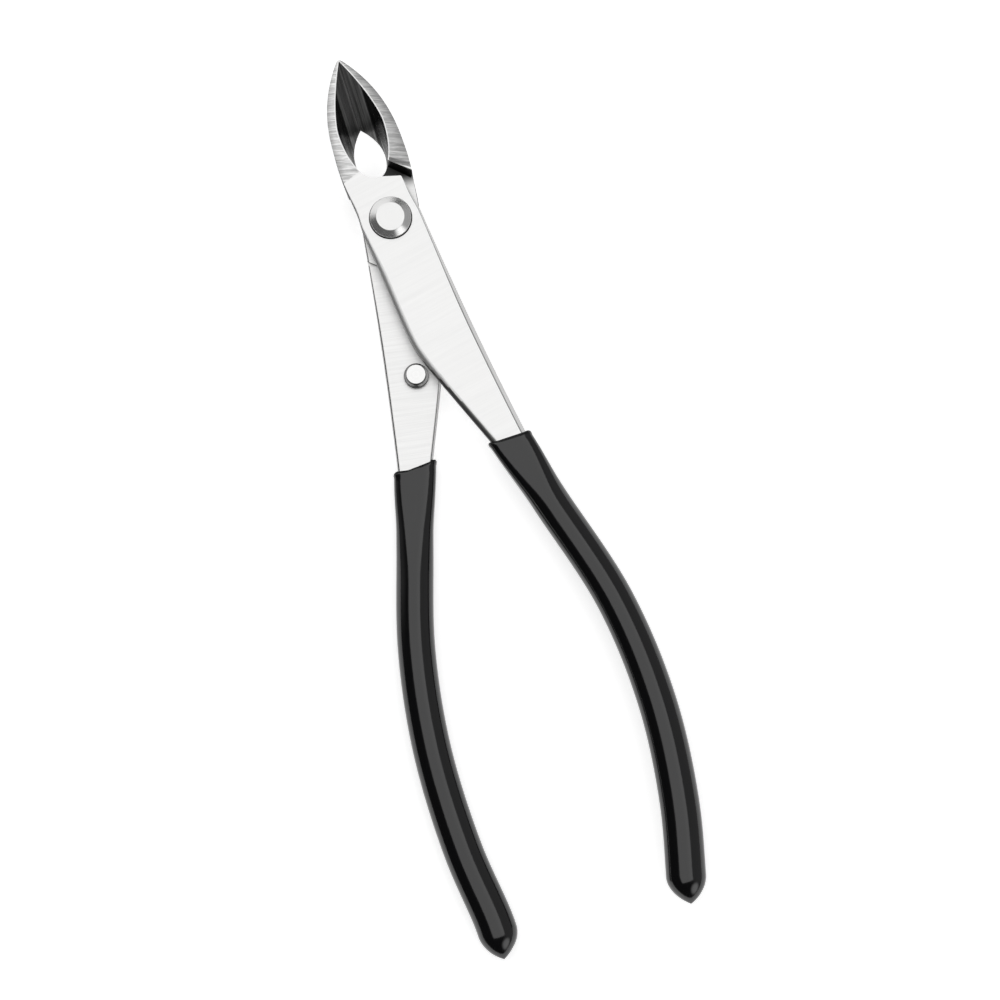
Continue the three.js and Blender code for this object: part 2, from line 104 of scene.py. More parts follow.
class Bench:
    """The moves that the pieces are made with."""

    @staticmethod
    def clear() -> None:
        """Leaves edit mode and deselects every object."""
        if bpy.context.object and bpy.context.object.mode != "OBJECT":
            Bench.close()
        bpy.ops.object.select_all(action="DESELECT")

    @staticmethod
    def pick(piece: Piece) -> None:
        """Makes one piece the active one and the only one selected."""
        Bench.clear()
        piece.select_set(True)
        bpy.context.view_layer.objects.active = piece

    @staticmethod
    def open(piece: Piece) -> None:
        """Opens a piece in edit mode, with all of it selected."""
        Bench.pick(piece)
        bpy.ops.object.mode_set(mode="EDIT")
        bpy.ops.mesh.select_all(action="SELECT")

    @staticmethod
    def close() -> None:
        """Goes back to object mode."""
        bpy.ops.object.mode_set(mode="OBJECT")

    @staticmethod
    def move(piece: Piece, by: Spot) -> None:
        """Moves a piece's mesh."""
        Bench.open(piece)
        bpy.ops.transform.translate(value=by)
        Bench.close()

    @staticmethod
    def face_out(piece: Piece) -> None:
        """Merges a piece's doubles and turns its faces outwards."""
        Bench.open(piece)
        bpy.ops.mesh.remove_doubles(threshold=MERGE_DISTANCE)
        bpy.ops.mesh.normals_make_consistent(inside=False)
        Bench.close()

    @staticmethod
    def change(piece: Piece, kind: str, **settings: object) -> None:
        """Gives a piece a modifier with its settings and applies it."""
        Bench.pick(piece)
        change = piece.modifiers.new(kind.lower(), kind)
        for label, value in settings.items():
            setattr(change, label, value)
        bpy.ops.object.modifier_apply(modifier=change.name)

    @staticmethod
    def coat(piece: Piece, *finishes: "SteelFinish | VinylFinish") -> Piece:
        """Adds finishes to a piece; the first that it gets covers its faces."""
        for finish in finishes:
            piece.data.materials.append(bpy.data.materials[finish.name])
        return piece

    @staticmethod
    def disc(name: str, sides: int, radius: float, height: float) -> Piece:
        """Adds a filled circle and gives it, active and in object mode."""
        Bench.clear()
        bpy.ops.mesh.primitive_circle_add(
            vertices=sides, radius=radius, fill_type="NGON", location=(0, 0, height)
        )
        piece = bpy.context.active_object
        piece.name = name
        bpy.ops.object.transform_apply(location=True, rotation=True, scale=True)
        return piece

    @staticmethod
    def tube(name: str, sides: int, levels: int, place: Place) -> Piece:
        """Extrudes a disc level by level, then moves each point to its place.

        Args:
            name: The object's name.
            sides: How many points each level has.
            levels: How many times the disc is extruded.
            place: Gives a point's place from its level and its number round the level.

        Returns:
            The closed tube.
        """
        piece = Bench.disc(name, sides, 1.0, 0.0)
        Bench.open(piece)
        for _ in range(levels):
            bpy.ops.mesh.extrude_region_move(TRANSFORM_OT_translate={"value": (0, 0, 1)})
        Bench.close()
        for vertex in piece.data.vertices:
            turn = math.atan2(-vertex.co.x, vertex.co.y) / math.tau
            vertex.co = place(round(vertex.co.z), round(turn * sides) % sides)
        Bench.face_out(piece)
        return piece

    @staticmethod
    def prism(name: str, outline: list[Point], low: float, high: float) -> Piece:
        """Draws a flat outline and extrudes it upwards.

        Args:
            name: The object's name.
            outline: The outline's points, in order.
            low: Height of the lower face.
            high: Height of the upper face.

        Returns:
            The closed prism.
        """
        heights = (low, high)
        return Bench.tube(
            name, len(outline), 1, lambda level, i: Vector((*outline[i], heights[level]))
        )

    @staticmethod
    def turned(name: str, profile: tuple[Point, ...], sides: int) -> Piece:
        """Turns a round piece by extruding and resizing a disc.

        Args:
            name: The object's name.
            profile: Radius and height of each step, from the bottom up.
            sides: How many sides the piece has.

        Returns:
            The closed piece, round about the rivet's axis.
        """
        radius, height = profile[0]
        piece = Bench.disc(name, sides, radius, height)
        Bench.open(piece)
        for next_radius, next_height in profile[1:]:
            rise = (0, 0, next_height - height)
            bpy.ops.mesh.extrude_region_move(TRANSFORM_OT_translate={"value": rise})
            grow = next_radius / radius
            bpy.ops.transform.resize(value=(grow, grow, 1), center_override=(0, 0, next_height))
            radius, height = next_radius, next_height
        Bench.face_out(piece)
        return piece

    @staticmethod
    def cut(piece: Piece, tool: Piece, how: Cut = Cut.TAKE_AWAY) -> None:
        """Cuts a piece with a tool, or joins the tool to it, and removes the tool.

        Args:
            piece: The piece that is changed.
            tool: The closed object that meets it; its finish is left on the new faces.
            how: Whether the tool is taken away or joined.
        """
        settings = {"operation": how.value, "solver": "EXACT", "material_mode": "TRANSFER"}
        Bench.change(piece, "BOOLEAN", object=tool, **settings)
        bpy.data.objects.remove(tool)

    @staticmethod
    def soften(piece: Piece, width: float, segments: int, angle: float = 30.0) -> None:
        """Rounds every edge that is sharper than an angle in degrees."""
        limit = {"limit_method": "ANGLE", "angle_limit": math.radians(angle)}
        Bench.change(piece, "BEVEL", width=width, segments=segments, **limit)

    @staticmethod
    def break_edge(piece: Piece, wanted: Choice, width: float, segments: int) -> None:
        """Bevels the edges whose two ends are both wanted.

        Args:
            piece: The piece whose edges are broken.
            wanted: Says from a point's place whether it lies on such an edge.
            width: How wide the bevel is.
            segments: How many facets it has.
        """
        Bench.open(piece)
        bpy.ops.mesh.select_mode(type="EDGE")
        bpy.ops.mesh.select_all(action="DESELECT")
        Bench.close()
        corners = piece.data.vertices
        for edge in piece.data.edges:
            edge.select = all(wanted(corners[i].co) for i in edge.vertices)
        bpy.ops.object.mode_set(mode="EDIT")
        bpy.ops.mesh.bevel(offset=width, segments=segments)
        bpy.ops.mesh.select_mode(type="VERT")
        Bench.close()

    @staticmethod
    def shade(piece: Piece, angle: float) -> None:
        """Shades a piece smooth up to an angle in degrees, with its large faces kept flat."""
        Bench.pick(piece)
        bpy.ops.object.shade_smooth_by_angle(angle=math.radians(angle))
        Bench.change(piece, "WEIGHTED_NORMAL", keep_sharp=True)

    @staticmethod
    def turn_over(piece: Piece) -> None:
        """Turns a piece over about the tool's long axis."""
        Bench.open(piece)
        bpy.ops.transform.rotate(value=math.pi, orient_axis="Y", center_override=(0, 0, 0))
        Bench.close()

    @staticmethod
    def set_in_frame(piece: Piece) -> None:
        """Sets a finished piece into the frame, in metres, with its place in its mesh."""
        Bench.move(piece, (0, 0, PIVOT_HEIGHT))
        Bench.open(piece)
        bpy.ops.transform.resize(value=(METRES_PER_MM,) * 3, center_override=(0, 0, 0))
        Bench.close()


@dataclass(frozen=True)
class HandleForm:
    """One handle: how it leans and bows, and where its grip starts and ends, in millimetres."""

    lean_share: float
    mouth_reach: float
    grip_reach: float
    bow: float
    line_shares: tuple[Point, ...]
    lap_half: float = 7.2
    jaw_half: float = 8.2
    jaw_shoulder_reach: float = 14.5
    knee_reach: float = 31.0
    knee_round: float = 4.0
    outer_slope_share: float = 0.117
    outer_flare_share: float = 0.029
    inner_slope_share: float = 0.104
    knee_slope_share: float = 0.433
    jaw_shift: float = 0.0
    jaw_shift_run: float = 4.0
    lap_taper_share: float = 0.07
    drip_shift: float = 0.0
    fade_share: float = 0.24
    outer_round: float = 1.2
    inner_round: float = 1.3
    # The strip of painted shade on the inner edge past the knee: its width, and where it starts and
    # is full.
    shade_width: float = 0.0
    shade_start: float = 32.0
    shade_full: float = 49.0

    def inner_edge(self, reach: float) -> float:
        """Finds the edge that faces the other lever.

        Args:
            reach: Distance from the rivet, positive along the handle and negative on the jaw.

        Returns:
            Distance of the edge from the tool's axis.
        """
        if reach < 0:
            shift = self.jaw_shift * ease(-reach, 0, self.jaw_shift_run)
            full = ease(-reach, 0, self.jaw_shoulder_reach)
            return shift - lerp(self.lap_half, self.jaw_half, full)

        def bend_at(past: float) -> float:
            """Gives a soft bend that grows past the knee."""
            return (past + math.hypot(past, self.knee_round)) / 2

        bend = bend_at(reach - self.knee_reach) - bend_at(-self.knee_reach)
        knee_turn = self.knee_slope_share - self.inner_slope_share
        slope = self.inner_slope_share + self.lean_share
        return slope * reach + knee_turn * bend - self.lap_half

    def outer_edge(self, reach: float) -> float:
        """Finds the edge on the handle's outer side, as inner_edge does."""
        flare = self.outer_flare_share * reach * abs(reach) / self.mouth_reach
        lean = self.lean_share * max(0.0, reach) + self.lap_taper_share * min(0.0, reach)
        return self.lap_half + self.outer_slope_share * reach + flare + lean

    def centre_line(self) -> "CentreLine":
        """Gives the grip's centre line, from its mouth to its tail."""
        mouth_x = (self.inner_edge(self.mouth_reach) + self.outer_edge(self.mouth_reach)) / 2
        points = [Vector((mouth_x, -self.mouth_reach, 0))]
        for bow_share, reach_share in self.line_shares:
            points.append(Vector((bow_share * self.bow, -reach_share * self.grip_reach, 0)))
        return CentreLine(points)


UPPER_HANDLE = HandleForm(
    lean_share=-0.025,
    mouth_reach=57,
    grip_reach=169.7,
    bow=23.3,
    line_shares=((0.62, 0.434), (0.923, 0.591), (0.998, 0.737), (0.895, 0.873), (0.67, 1)),
    jaw_shift=0.25,
    drip_shift=0.7,
    shade_width=1.02,
    fade_share=0.17,
)
LOWER_HANDLE = HandleForm(
    lean_share=0.025,
    mouth_reach=56,
    grip_reach=168.4,
    bow=29.9,
    line_shares=(
        (0.625, 0.444), (0.851, 0.575), (0.975, 0.711), (0.988, 0.852), (0.93, 0.96), (0.935, 1)
    ),
    jaw_shift=-0.3,
    drip_shift=0.3,
    outer_round=0.5,
    inner_round=1.2,
)


class CentreLine:
    """A smooth line through a few points, read by the distance along it."""

    def __init__(self, points: list[Vector], samples_per_span: int = 80) -> None:
        """Samples the line.

        Args:
            points: The points it runs through.
            samples_per_span: How many samples lie between two of the points.
        """
        first = points[0] * 2 - points[1]
        last = points[-1] * 2 - points[-2]
        padded = [first, *points, last]
        self.samples: list[Vector] = []
        for span in range(len(points) - 1):
            four = padded[span : span + 4]
            for i in range(samples_per_span):
                self.samples.append(self._between(four, i / samples_per_span))
        self.samples.append(points[-1].copy())
        self.distances = [0.0]
        for low, high in zip(self.samples, self.samples[1:]):
            self.distances.append(self.distances[-1] + (high - low).length)
        self.length = self.distances[-1]

    @staticmethod
    def _between(four: list[Vector], share: float) -> Vector:
        """Gives the point at a share of the way from the second point to the third."""
        gaps = [math.sqrt((four[i + 1] - four[i]).length) for i in range(3)]
        enter = (four[1] - four[0]) / gaps[0] - (four[2] - four[0]) / (gaps[0] + gaps[1])
        enter += (four[2] - four[1]) / gaps[1]
        leave = (four[2] - four[1]) / gaps[1] - (four[3] - four[1]) / (gaps[1] + gaps[2])
        leave += (four[3] - four[2]) / gaps[2]
        enter *= gaps[1]
        leave *= gaps[1]
        turn = four[2] - four[1]
        square, cube = share * share, share**3
        value = four[1] + enter * share + (turn * 3 - enter * 2 - leave) * square
        return value + (enter + leave - turn * 2) * cube

    def point(self, distance: float) -> Vector:
        """Gives the point at a distance, on a straight run past either end."""
        last = len(self.samples) - 2
        spot = next((i for i in range(last) if distance < self.distances[i + 1]), last)
        low, high = self.distances[spot], self.distances[spot + 1]
        return self.samples[spot].lerp(self.samples[spot + 1], (distance - low) / (high - low))

    def direction(self, distance: float, step: float = 0.8) -> Vector:
        """Gives the direction of the line at a distance."""
        near = max(0.0, min(self.length - step, distance - step / 2))
        return (self.point(near + step) - self.point(near)).normalized()


@dataclass(frozen=True)
class GripForm:
    """Sizes of the dipped grips and of the metal inside them, in millimetres."""

    handle_top: float = 5.0
    handle_under: float = 1.25
    tail_lift: float = 1.7
    turn_length: float = 16.0
    tang_width: float = 6.0
    tang_thickness: float = 5.2
    tang_start: float = 2.0
    tang_fit_share: float = 0.9
    tang_square: float = 4.0
    tail_gap: float = 4.0
    clearance: float = 0.15
    mouth_wall: float = 0.95
    mouth_cover: float = 1.05
    wall: float = 1.35
    tail_swell: float = 0.25
    mouth_square: float = 3.7
    square: float = 2.06
    lip_length: float = 1.4
    lip_rise: float = 0.15
    lip_round: float = 0.75
    lip_drop: float = 0.4
    lip_sag: float = 0.75
    lip_wave: float = 0.06
    lip_tilt: float = 0.42
    wave_length: float = 5.0
    tail_round: float = 4.4
    tail_past: float = 1.5
    tail_length: float = 6.6
    tail_power: float = 2.0
    tip_power: float = 0.85
    tip_radius: float = 0.15
    plate_in_grip: float = 6.0
    side_round: float = 0.6
    station_spread: float = 1.15
    tail_spread: float = 1.6
    sag_spread: float = 3.0
    shade_angle: float = 50.0
    tang_sides: int = 16
    tang_steps: int = 40
    pocket_steps: int = 4
    sides: int = 64
    stations: int = 74
    lip_steps: int = 6
    tail_steps: int = 22


@dataclass(frozen=True)
class LongEdge:
    """A long edge of a lever: which way its face looks, how high it lies, how round it gets.

    The size of a top edge is a share of the handle's own roundings.
    """

    up: int
    face: float
    size: float
    start: float
    end: float


@dataclass(frozen=True)
class HeadForm:
    """Sizes of the jaws, their hollow, the lap and the handle's edges, in millimetres."""

    tip_reach: float = 39.5
    tip_overrun: float = 0.4
    tip_blunt_half: float = 0.25
    jaw_half: float = 8.2
    jaw_shoulder_reach: float = 14.5
    nose_power: float = 2.65
    thickness: float = 10.0
    flush_reach: float = 24.7
    flush_sag: float = 0.7
    edge_land: float = 0.35
    seam: float = 0.002
    rim_width: float = 10.9
    rim_wide_reach: float = 22.5
    rim_foot_reach: float = 10.1
    rim_power: float = 1.5
    window_width: float = 7.3
    window_wide_reach: float = 16.8
    window_foot_reach: float = 11.5
    window_power: float = 2.0
    hollow_scoop: float = 0.7
    hollow_spread: float = 1.15
    band_inner_reach: float = 12.7
    band_outer_reach: float = 10.6
    right_band_reach: float = 9.35
    band_slope: float = 0.36
    band_ramp: float = 0.14
    right_band_ramp: float = 0.05
    band_spread: float = 1.4
    band_past: float = 1.0
    rim_edge: float = 0.25
    lap_face: float = 0.05
    boss_radius: float = 10.7
    handle_step: float = 1.25
    lap_corner_reach: float = 8.95
    lap_corner_round: float = 0.7
    lap_nose_reach: float = 10.3
    shoulder_inner_x: float = 3.7
    shoulder_inner_reach: float = 13.1
    shoulder_outer_reach: float = 9.2
    shoulder_edge: float = 0.22
    shoulder_facets: int = 3
    nose_edge: float = 0.12
    nose_facets: int = 2
    fillet_inset: float = 0.12
    fillet_back: float = 0.3
    fillet_end: float = 6.6
    fillet_run: float = 0.8
    fillet_spread: float = -0.06
    fillet_steps: int = 12
    round_height: float = 1.15
    under_round: float = 0.65
    lap_round: float = 0.9
    lap_edge_reach: float = 8.4
    lap_round_share: float = 0.45
    lap_inner_share: float = 0.26
    round_full_reach: float = 14.0
    least_round: float = 0.04
    shank_hole: float = 3.1
    seat_radius: float = 5.04
    seat_depth: float = 0.2
    plate_in_grip: float = 6.0
    over: float = 5.0
    upright_tilt: float = 0.2
    shade_angle: float = 24.0
    bevel_shape: tuple[Point, ...] = (
        (-1, 0), (-0.9, 0.03), (-0.79, 0.1), (-0.67, 0.23), (-0.55, 0.41), (-0.28, 0.82), (0, 1.25)
    )
    swell_shape: tuple[Point, ...] = (
        (-1, 0), (-0.8, 0.02), (-0.6, 0.07), (-0.4, 0.15), (-0.2, 0.25), (-0.05, 0.35), (0, 0.45)
    )
    hollow_sides: int = 72
    hollow_levels: int = 14
    band_stations: int = 60
    nose_steps: int = 40
    edge_steps: int = 48
    shoulder_steps: int = 6
    round_steps: int = 6
    round_sides: int = 96

    @property
    def half(self) -> float:
        """Half the head's thickness."""
        return self.thickness / 2

    def nose_rise(self, reach: float) -> float:
        """Gives how far a reach lies from the shoulder towards the tip, from 0 to 1."""
        run = self.tip_reach + self.tip_overrun - self.jaw_shoulder_reach
        return max(0.0, (reach - self.jaw_shoulder_reach) / run)

    def nose_half(self, reach: float) -> float:
        """Gives half the width of the closed jaws at a reach."""
        return self.jaw_half * (1 - self.nose_rise(reach) ** self.nose_power)

    def flush_face(self, depth: float) -> float:
        """Gives the slanted face's reach at a depth share, 0 near and 1 far."""
        sag = 4 * self.flush_sag * depth * (1 - depth)
        return lerp(self.tip_reach, self.flush_reach, depth) - sag

    def hollow_half(self, depth: float, reach: float) -> float:
        """Gives half the hollow's width.

        Args:
            depth: Share of the way from the near face to the far one.
            reach: Distance from the rivet.

        Returns:
            Half the width there, 0 at the hollow's point and foot.
        """
        bulge = 4 * self.hollow_scoop * depth * (1 - depth)
        half = (lerp(self.rim_width, self.window_width, depth) + bulge) / 2
        point, wide, foot = self.hollow_reaches(depth)
        if reach > wide:
            rise = min(1.0, (reach - wide) / (point - wide))
            return half * (1 - rise ** lerp(self.rim_power, self.window_power, depth))
        fall = min(1.0, (wide - reach) / (wide - foot))
        return half * math.sqrt(1 - fall * fall)

    def hollow_reaches(self, depth: float) -> tuple[float, float, float]:
        """Gives the reaches of the hollow's point, widest place and foot at a depth share."""
        return (
            self.flush_face(depth) - self.edge_land,
            lerp(self.rim_wide_reach, self.window_wide_reach, depth),
            lerp(self.rim_foot_reach, self.window_foot_reach, depth),
        )

    def nose(self, handle: HandleForm) -> list[Point]:
        """Lists the outline's points from the blunt tip back to the shoulder, on the left jaw."""
        points = [(-self.seam, self.tip_reach), (-self.tip_blunt_half, self.tip_reach)]
        start = self.tip_reach - self.tip_blunt_half / 2
        for i in range(1, self.nose_steps):
            reach = lerp(start, self.jaw_shoulder_reach, i / self.nose_steps)
            shift = handle.jaw_shift * (1 - self.nose_rise(reach))
            points.append((shift - self.nose_half(reach), reach))
        return points

    def jaw_reaches(self) -> list[float]:
        """Lists the reaches of the points down a jaw's outer side to the lap's shoulder."""
        steps = self.shoulder_steps
        ends = (self.jaw_shoulder_reach, self.shoulder_outer_reach)
        return [lerp(*ends, i / steps) for i in range(steps + 1)]

    def edge_reaches(self, handle: HandleForm) -> list[float]:
        """Lists the reaches of the points along a lever's edges, negative on the jaw."""
        reaches = [-reach for reach in self.jaw_reaches()]
        for i in range(1, self.shoulder_steps):
            reaches.append(lerp(-self.shoulder_outer_reach, 0, i / self.shoulder_steps))
        end = handle.mouth_reach + self.plate_in_grip
        return reaches + [end * i / self.edge_steps for i in range(self.edge_steps + 1)]

    def lever_outline(self, handle: HandleForm) -> list[Point]:
        """Lists the outline of jaw, lap and bare handle, for the jaw on the left."""
        reaches = self.edge_reaches(handle)
        points = self.nose(handle)
        points += [(handle.inner_edge(reach), -reach) for reach in reaches]
        back = [reach for reach in reversed(reaches) if reach >= 0]
        points += [(handle.outer_edge(reach), -reach) for reach in back]
        corner = handle.outer_edge(-self.lap_corner_reach)
        low = self.lap_corner_reach - self.lap_corner_round
        for i in range(self.round_steps + 1):
            share = i / self.round_steps
            x = corner - self.lap_corner_round * share * share
            points.append((x, low + self.lap_corner_round * (1 - (1 - share) ** 2)))
        return [*points, (-self.seam, self.lap_nose_reach)]

    def jaw_outline(self, handle: HandleForm) -> list[Point]:
        """Lists the outline of the half jaw on the other side of the lap, for the left jaw."""
        rise = self.shoulder_inner_reach - self.shoulder_outer_reach
        slope = rise / (self.jaw_half - self.shoulder_inner_x)
        points = self.nose(handle)
        points += [(handle.inner_edge(-reach), reach) for reach in self.jaw_reaches()]
        return [*points, (-self.seam, self.shoulder_inner_reach + self.shoulder_inner_x * slope)]

    def long_edges(self) -> tuple[LongEdge, ...]:
        """Lists the long edges that are rounded: the top's, the lap's and the underside's."""
        lap_end = math.sqrt(self.boss_radius**2 - UPPER_HANDLE.lap_half**2)
        return (
            LongEdge(1, self.half, 1.0, -self.band_outer_reach, math.inf),
            LongEdge(-1, self.lap_face, self.lap_round, -self.lap_edge_reach, lap_end),
            LongEdge(-1, self.handle_step, self.under_round, lap_end, math.inf),
        )

    def round_shape(self) -> list[Point]:
        """Lists the points of an even rounding of width 1, from the face to the side."""
        turns = [math.pi / 2 * i / self.round_steps for i in range(self.round_steps + 1)]
        return [(math.sin(turn) - 1, self.round_height * (1 - math.cos(turn))) for turn in turns]

    def edge_round(self, size: float, reach: float, side: int) -> float:
        """Gives the radius of a long edge of the lever.

        Args:
            size: Its radius past the knee.
            reach: Distance from the rivet, negative on the jaw.
            side: +1 for the outer edge and -1 for the inner one.

        Returns:
            The radius there, least at the jaw and small beside the lap.
        """
        start = ease(reach, -self.band_outer_reach, -self.shank_hole)
        if side > 0:
            share = lerp(self.lap_round_share, 1, ease(reach, 0, UPPER_HANDLE.knee_reach))
        else:
            full = ease(reach, -self.shank_hole, self.round_full_reach)
            share = lerp(self.lap_inner_share, 1, full)
        return max(self.least_round, size * start * share)


class Nodes:
    """A node tree while its nodes are being joined up."""

    def __init__(self, tree: bpy.types.NodeTree) -> None:
        """Keeps the tree."""
        self.tree = tree

    def add(self, kind: str, feeds: Feeds | None = None, **settings: object) -> Node:
        """Adds a node.

        Args:
            kind: The node's kind.
            feeds: A socket or a value for each input that gets one.
            settings: The node's own settings.

        Returns:
            The new node.
        """
        node = self.tree.nodes.new(kind)
        for label, value in settings.items():
            setattr(node, label, value)
        self.feed(node, feeds or {})
        return node

    def feed(self, node: Node, feeds: Feeds) -> None:
        """Joins sockets to a node's inputs, or sets the inputs to values."""
        for label, value in feeds.items():
            if isinstance(value, Socket):
                self.tree.links.new(value, node.inputs[label])
            else:
                node.inputs[label].default_value = value

    def use(self, group: str, feeds: Feeds) -> Node:
        """Places a shader node group with its own values."""
        return self.add("ShaderNodeGroup", feeds, node_tree=bpy.data.node_groups[group])

    def maths(self, operation: str, first: object, second: object = 0.0) -> Socket:
        """Adds a sum of two values, each a socket or a number, and gives its result."""
        return self.add("ShaderNodeMath", {0: first, 1: second}, operation=operation).outputs[0]

    def vector(self, operation: str, first: object, second: object = (0, 0, 0)) -> Node:
        """Adds a sum of two vectors."""
        return self.add("ShaderNodeVectorMath", {0: first, 1: second}, operation=operation)

    def blend(self, first: object, second: object, share: object) -> Socket:
        """Blends two values by a share."""
        feeds = {0: share, 2: first, 3: second}
        return self.add("ShaderNodeMix", feeds, data_type="FLOAT").outputs[0]

    def ramp(self, feeds: Feeds, kind: str = "LINEAR") -> Socket:
        """Maps a value from one range to another."""
        return self.add("ShaderNodeMapRange", feeds, interpolation_type=kind).outputs["Result"]

    def rise(self, value: object, start: object, soft: object) -> Socket:
        """Rises smoothly from 0 at a start to 1 a little past it."""
        end = self.maths("ADD", start, soft)
        return self.ramp({"Value": value, "From Min": start, "From Max": end}, "SMOOTHSTEP")

    def noise(self, place: Socket, scale: object, detail: float, rough: float = 0.5) -> Socket:
        """Adds a noise pattern and gives its value."""
        feeds = {"Vector": place, "Scale": scale, "Detail": detail, "Roughness": rough}
        return self.add("ShaderNodeTexNoise", feeds).outputs["Fac"]


class Sheet(Nodes):
    """A new material's nodes, with its Principled surface."""

    def __init__(self, name: str) -> None:
        """Starts the material."""
        self.material = bpy.data.materials.new(name)
        self.material.use_nodes = True
        super().__init__(self.material.node_tree)
        self.surface = self.tree.nodes["Principled BSDF"]
        self.place = self.add("ShaderNodeTexCoord").outputs["Object"]

    def toned(self, colour: Socket, group: str, feeds: Feeds) -> Socket:
        """Gives a colour scaled by the painted light and shade that a group puts out."""
        tone = self.use(group, {"Vector": self.place} | feeds).outputs["Tone"]
        feeds = {0: colour, "Scale": tone}
        return self.add("ShaderNodeVectorMath", feeds, operation="SCALE").outputs["Vector"]


class Group(Nodes):
    """A shader node group while its nodes are being joined up."""

    def __init__(self, name: str, values: list[str], outputs: list[str], *vectors: str) -> None:
        """Starts a group.

        Args:
            name: The group's name.
            values: The names of its inputs that are values.
            outputs: The names of its outputs, which are all values.
            vectors: The names of its inputs that are vectors, besides the place.
        """
        super().__init__(bpy.data.node_groups.new(name, "ShaderNodeTree"))
        rows = [("INPUT", "Vector", label) for label in ("Vector", *vectors)]
        rows += [("INPUT", "Float", label) for label in values]
        rows += [("OUTPUT", "Float", label) for label in outputs]
        for way, kind, label in rows:
            self.tree.interface.new_socket(label, in_out=way, socket_type="NodeSocket" + kind)
        self.given = self.add("NodeGroupInput").outputs
        self.result = self.add("NodeGroupOutput")

    def give_marks(self, place: Socket, coarse_share: float) -> None:
        """Draws noise at a place and gives it as marks and as a height.

        Args:
            place: The stretched place that the noise is read at.
            coarse_share: How strongly its broad part shows.
        """
        fine = self.noise(place, FINE_SCALE, FINE_DETAIL, FINE_ROUGHNESS)
        broad = self.maths("SUBTRACT", self.noise(place, BROAD_SCALE, BROAD_DETAIL), 0.5)
        broad = self.maths("MULTIPLY", broad, coarse_share)
        mixed = self.maths("ADD", self.maths("SUBTRACT", fine, 0.5), broad)
        strong = self.maths("MULTIPLY", mixed, self.given["Contrast"])
        marks = self.maths("ADD", strong, 0.5)
        marks.node.use_clamp = True
        self.feed(self.result, {"Marks": marks, "Height": fine})


def draw_streaks() -> None:
    """Draws the group of grinding streaks, turned and stretched."""
    values = ["Turn", "Along", "Across", "Deep", "Contrast"]
    sheet = Group("grinding_streaks", values, ["Marks", "Height"])
    given = sheet.given
    feeds = {"Vector": given["Vector"], "Angle": given["Turn"]}
    turned = sheet.add("ShaderNodeVectorRotate", feeds, rotation_type="Z_AXIS")
    feeds = {"X": given["Along"], "Y": given["Across"], "Z": given["Deep"]}
    scale = sheet.add("ShaderNodeCombineXYZ", feeds)
    place = sheet.vector("MULTIPLY", turned.outputs["Vector"], scale.outputs["Vector"])
    sheet.give_marks(place.outputs["Vector"], STREAK_BROAD_SHARE)


def draw_rings() -> None:
    """Draws the group of rings turned round an axis."""
    sheet = Group("turned_rings", ["Across", "Contrast"], ["Marks", "Height"], "Axis")
    given = sheet.given
    apart = sheet.vector("SUBTRACT", given["Vector"], given["Axis"])
    flat = sheet.vector("MULTIPLY", apart.outputs["Vector"], (1, 1, 0))
    radius = sheet.vector("LENGTH", flat.outputs["Vector"]).outputs["Value"]
    steps = sheet.maths("MULTIPLY", radius, given["Across"])
    ring = sheet.add("ShaderNodeCombineXYZ", {"X": steps})
    sheet.give_marks(ring.outputs["Vector"], RING_BROAD_SHARE)


def draw_hollow_painted_shade() -> None:
    """Draws the group that paints shade on the hollow's flanks and centre and paints light on its
    foot.
    """
    values = ["Flank", "Flank Soft", "Foot", "Foot Soft", "Centre", "Centre Soft"]
    values += ["Flank Painted Shade", "Foot Painted Light", "Centre Painted Shade"]
    sheet = Group("hollow_painted_shade", values, ["Tone"])
    given = sheet.given
    apart = sheet.add("ShaderNodeSeparateXYZ", {0: given["Vector"]}).outputs
    beside = sheet.maths("ABSOLUTE", apart["X"])
    flank = sheet.rise(beside, given["Flank"], given["Flank Soft"])
    above = sheet.rise(apart["Y"], given["Foot"], given["Foot Soft"])
    clear = sheet.rise(apart["Y"], given["Centre"], given["Centre Soft"])
    steep = sheet.blend(given["Foot Painted Light"], given["Flank Painted Shade"], above)
    shallow = sheet.blend(given["Centre Painted Shade"], 1.0, clear)
    sheet.feed(sheet.result, {"Tone": sheet.blend(shallow, steep, flank)})


def draw_lap_shade() -> None:
    """Draws the group that paints shade on the lap by the shoulder."""
    sheet = Group("lap_shade", ["Height", "Thick", "Start", "Run", "Dark"], ["Tone"])
    given = sheet.given
    apart = sheet.add("ShaderNodeSeparateXYZ", {0: given["Vector"]}).outputs
    above = sheet.maths("ABSOLUTE", sheet.maths("SUBTRACT", apart["Z"], given["Height"]))
    near = sheet.maths("LESS_THAN", above, given["Thick"])
    close = sheet.rise(apart["Y"], given["Start"], given["Run"])
    shade = sheet.maths("MULTIPLY", near, close)
    sheet.feed(sheet.result, {"Tone": sheet.blend(1.0, given["Dark"], shade)})


def draw_skin() -> None:
    """Draws the group of the dipped skin's ripple and duller patches."""
    sheet = Group("dipped_skin", ["Ripple"], ["Patches", "Height"])
    place, ripple = sheet.given["Vector"], sheet.given["Ripple"]
    wide = sheet.maths("MULTIPLY", ripple, PATCH_SHARE)
    patches = sheet.noise(place, wide, PATCH_DETAIL)
    height = sheet.noise(place, ripple, RIPPLE_DETAIL)
    sheet.feed(sheet.result, {"Patches": patches, "Height": height})


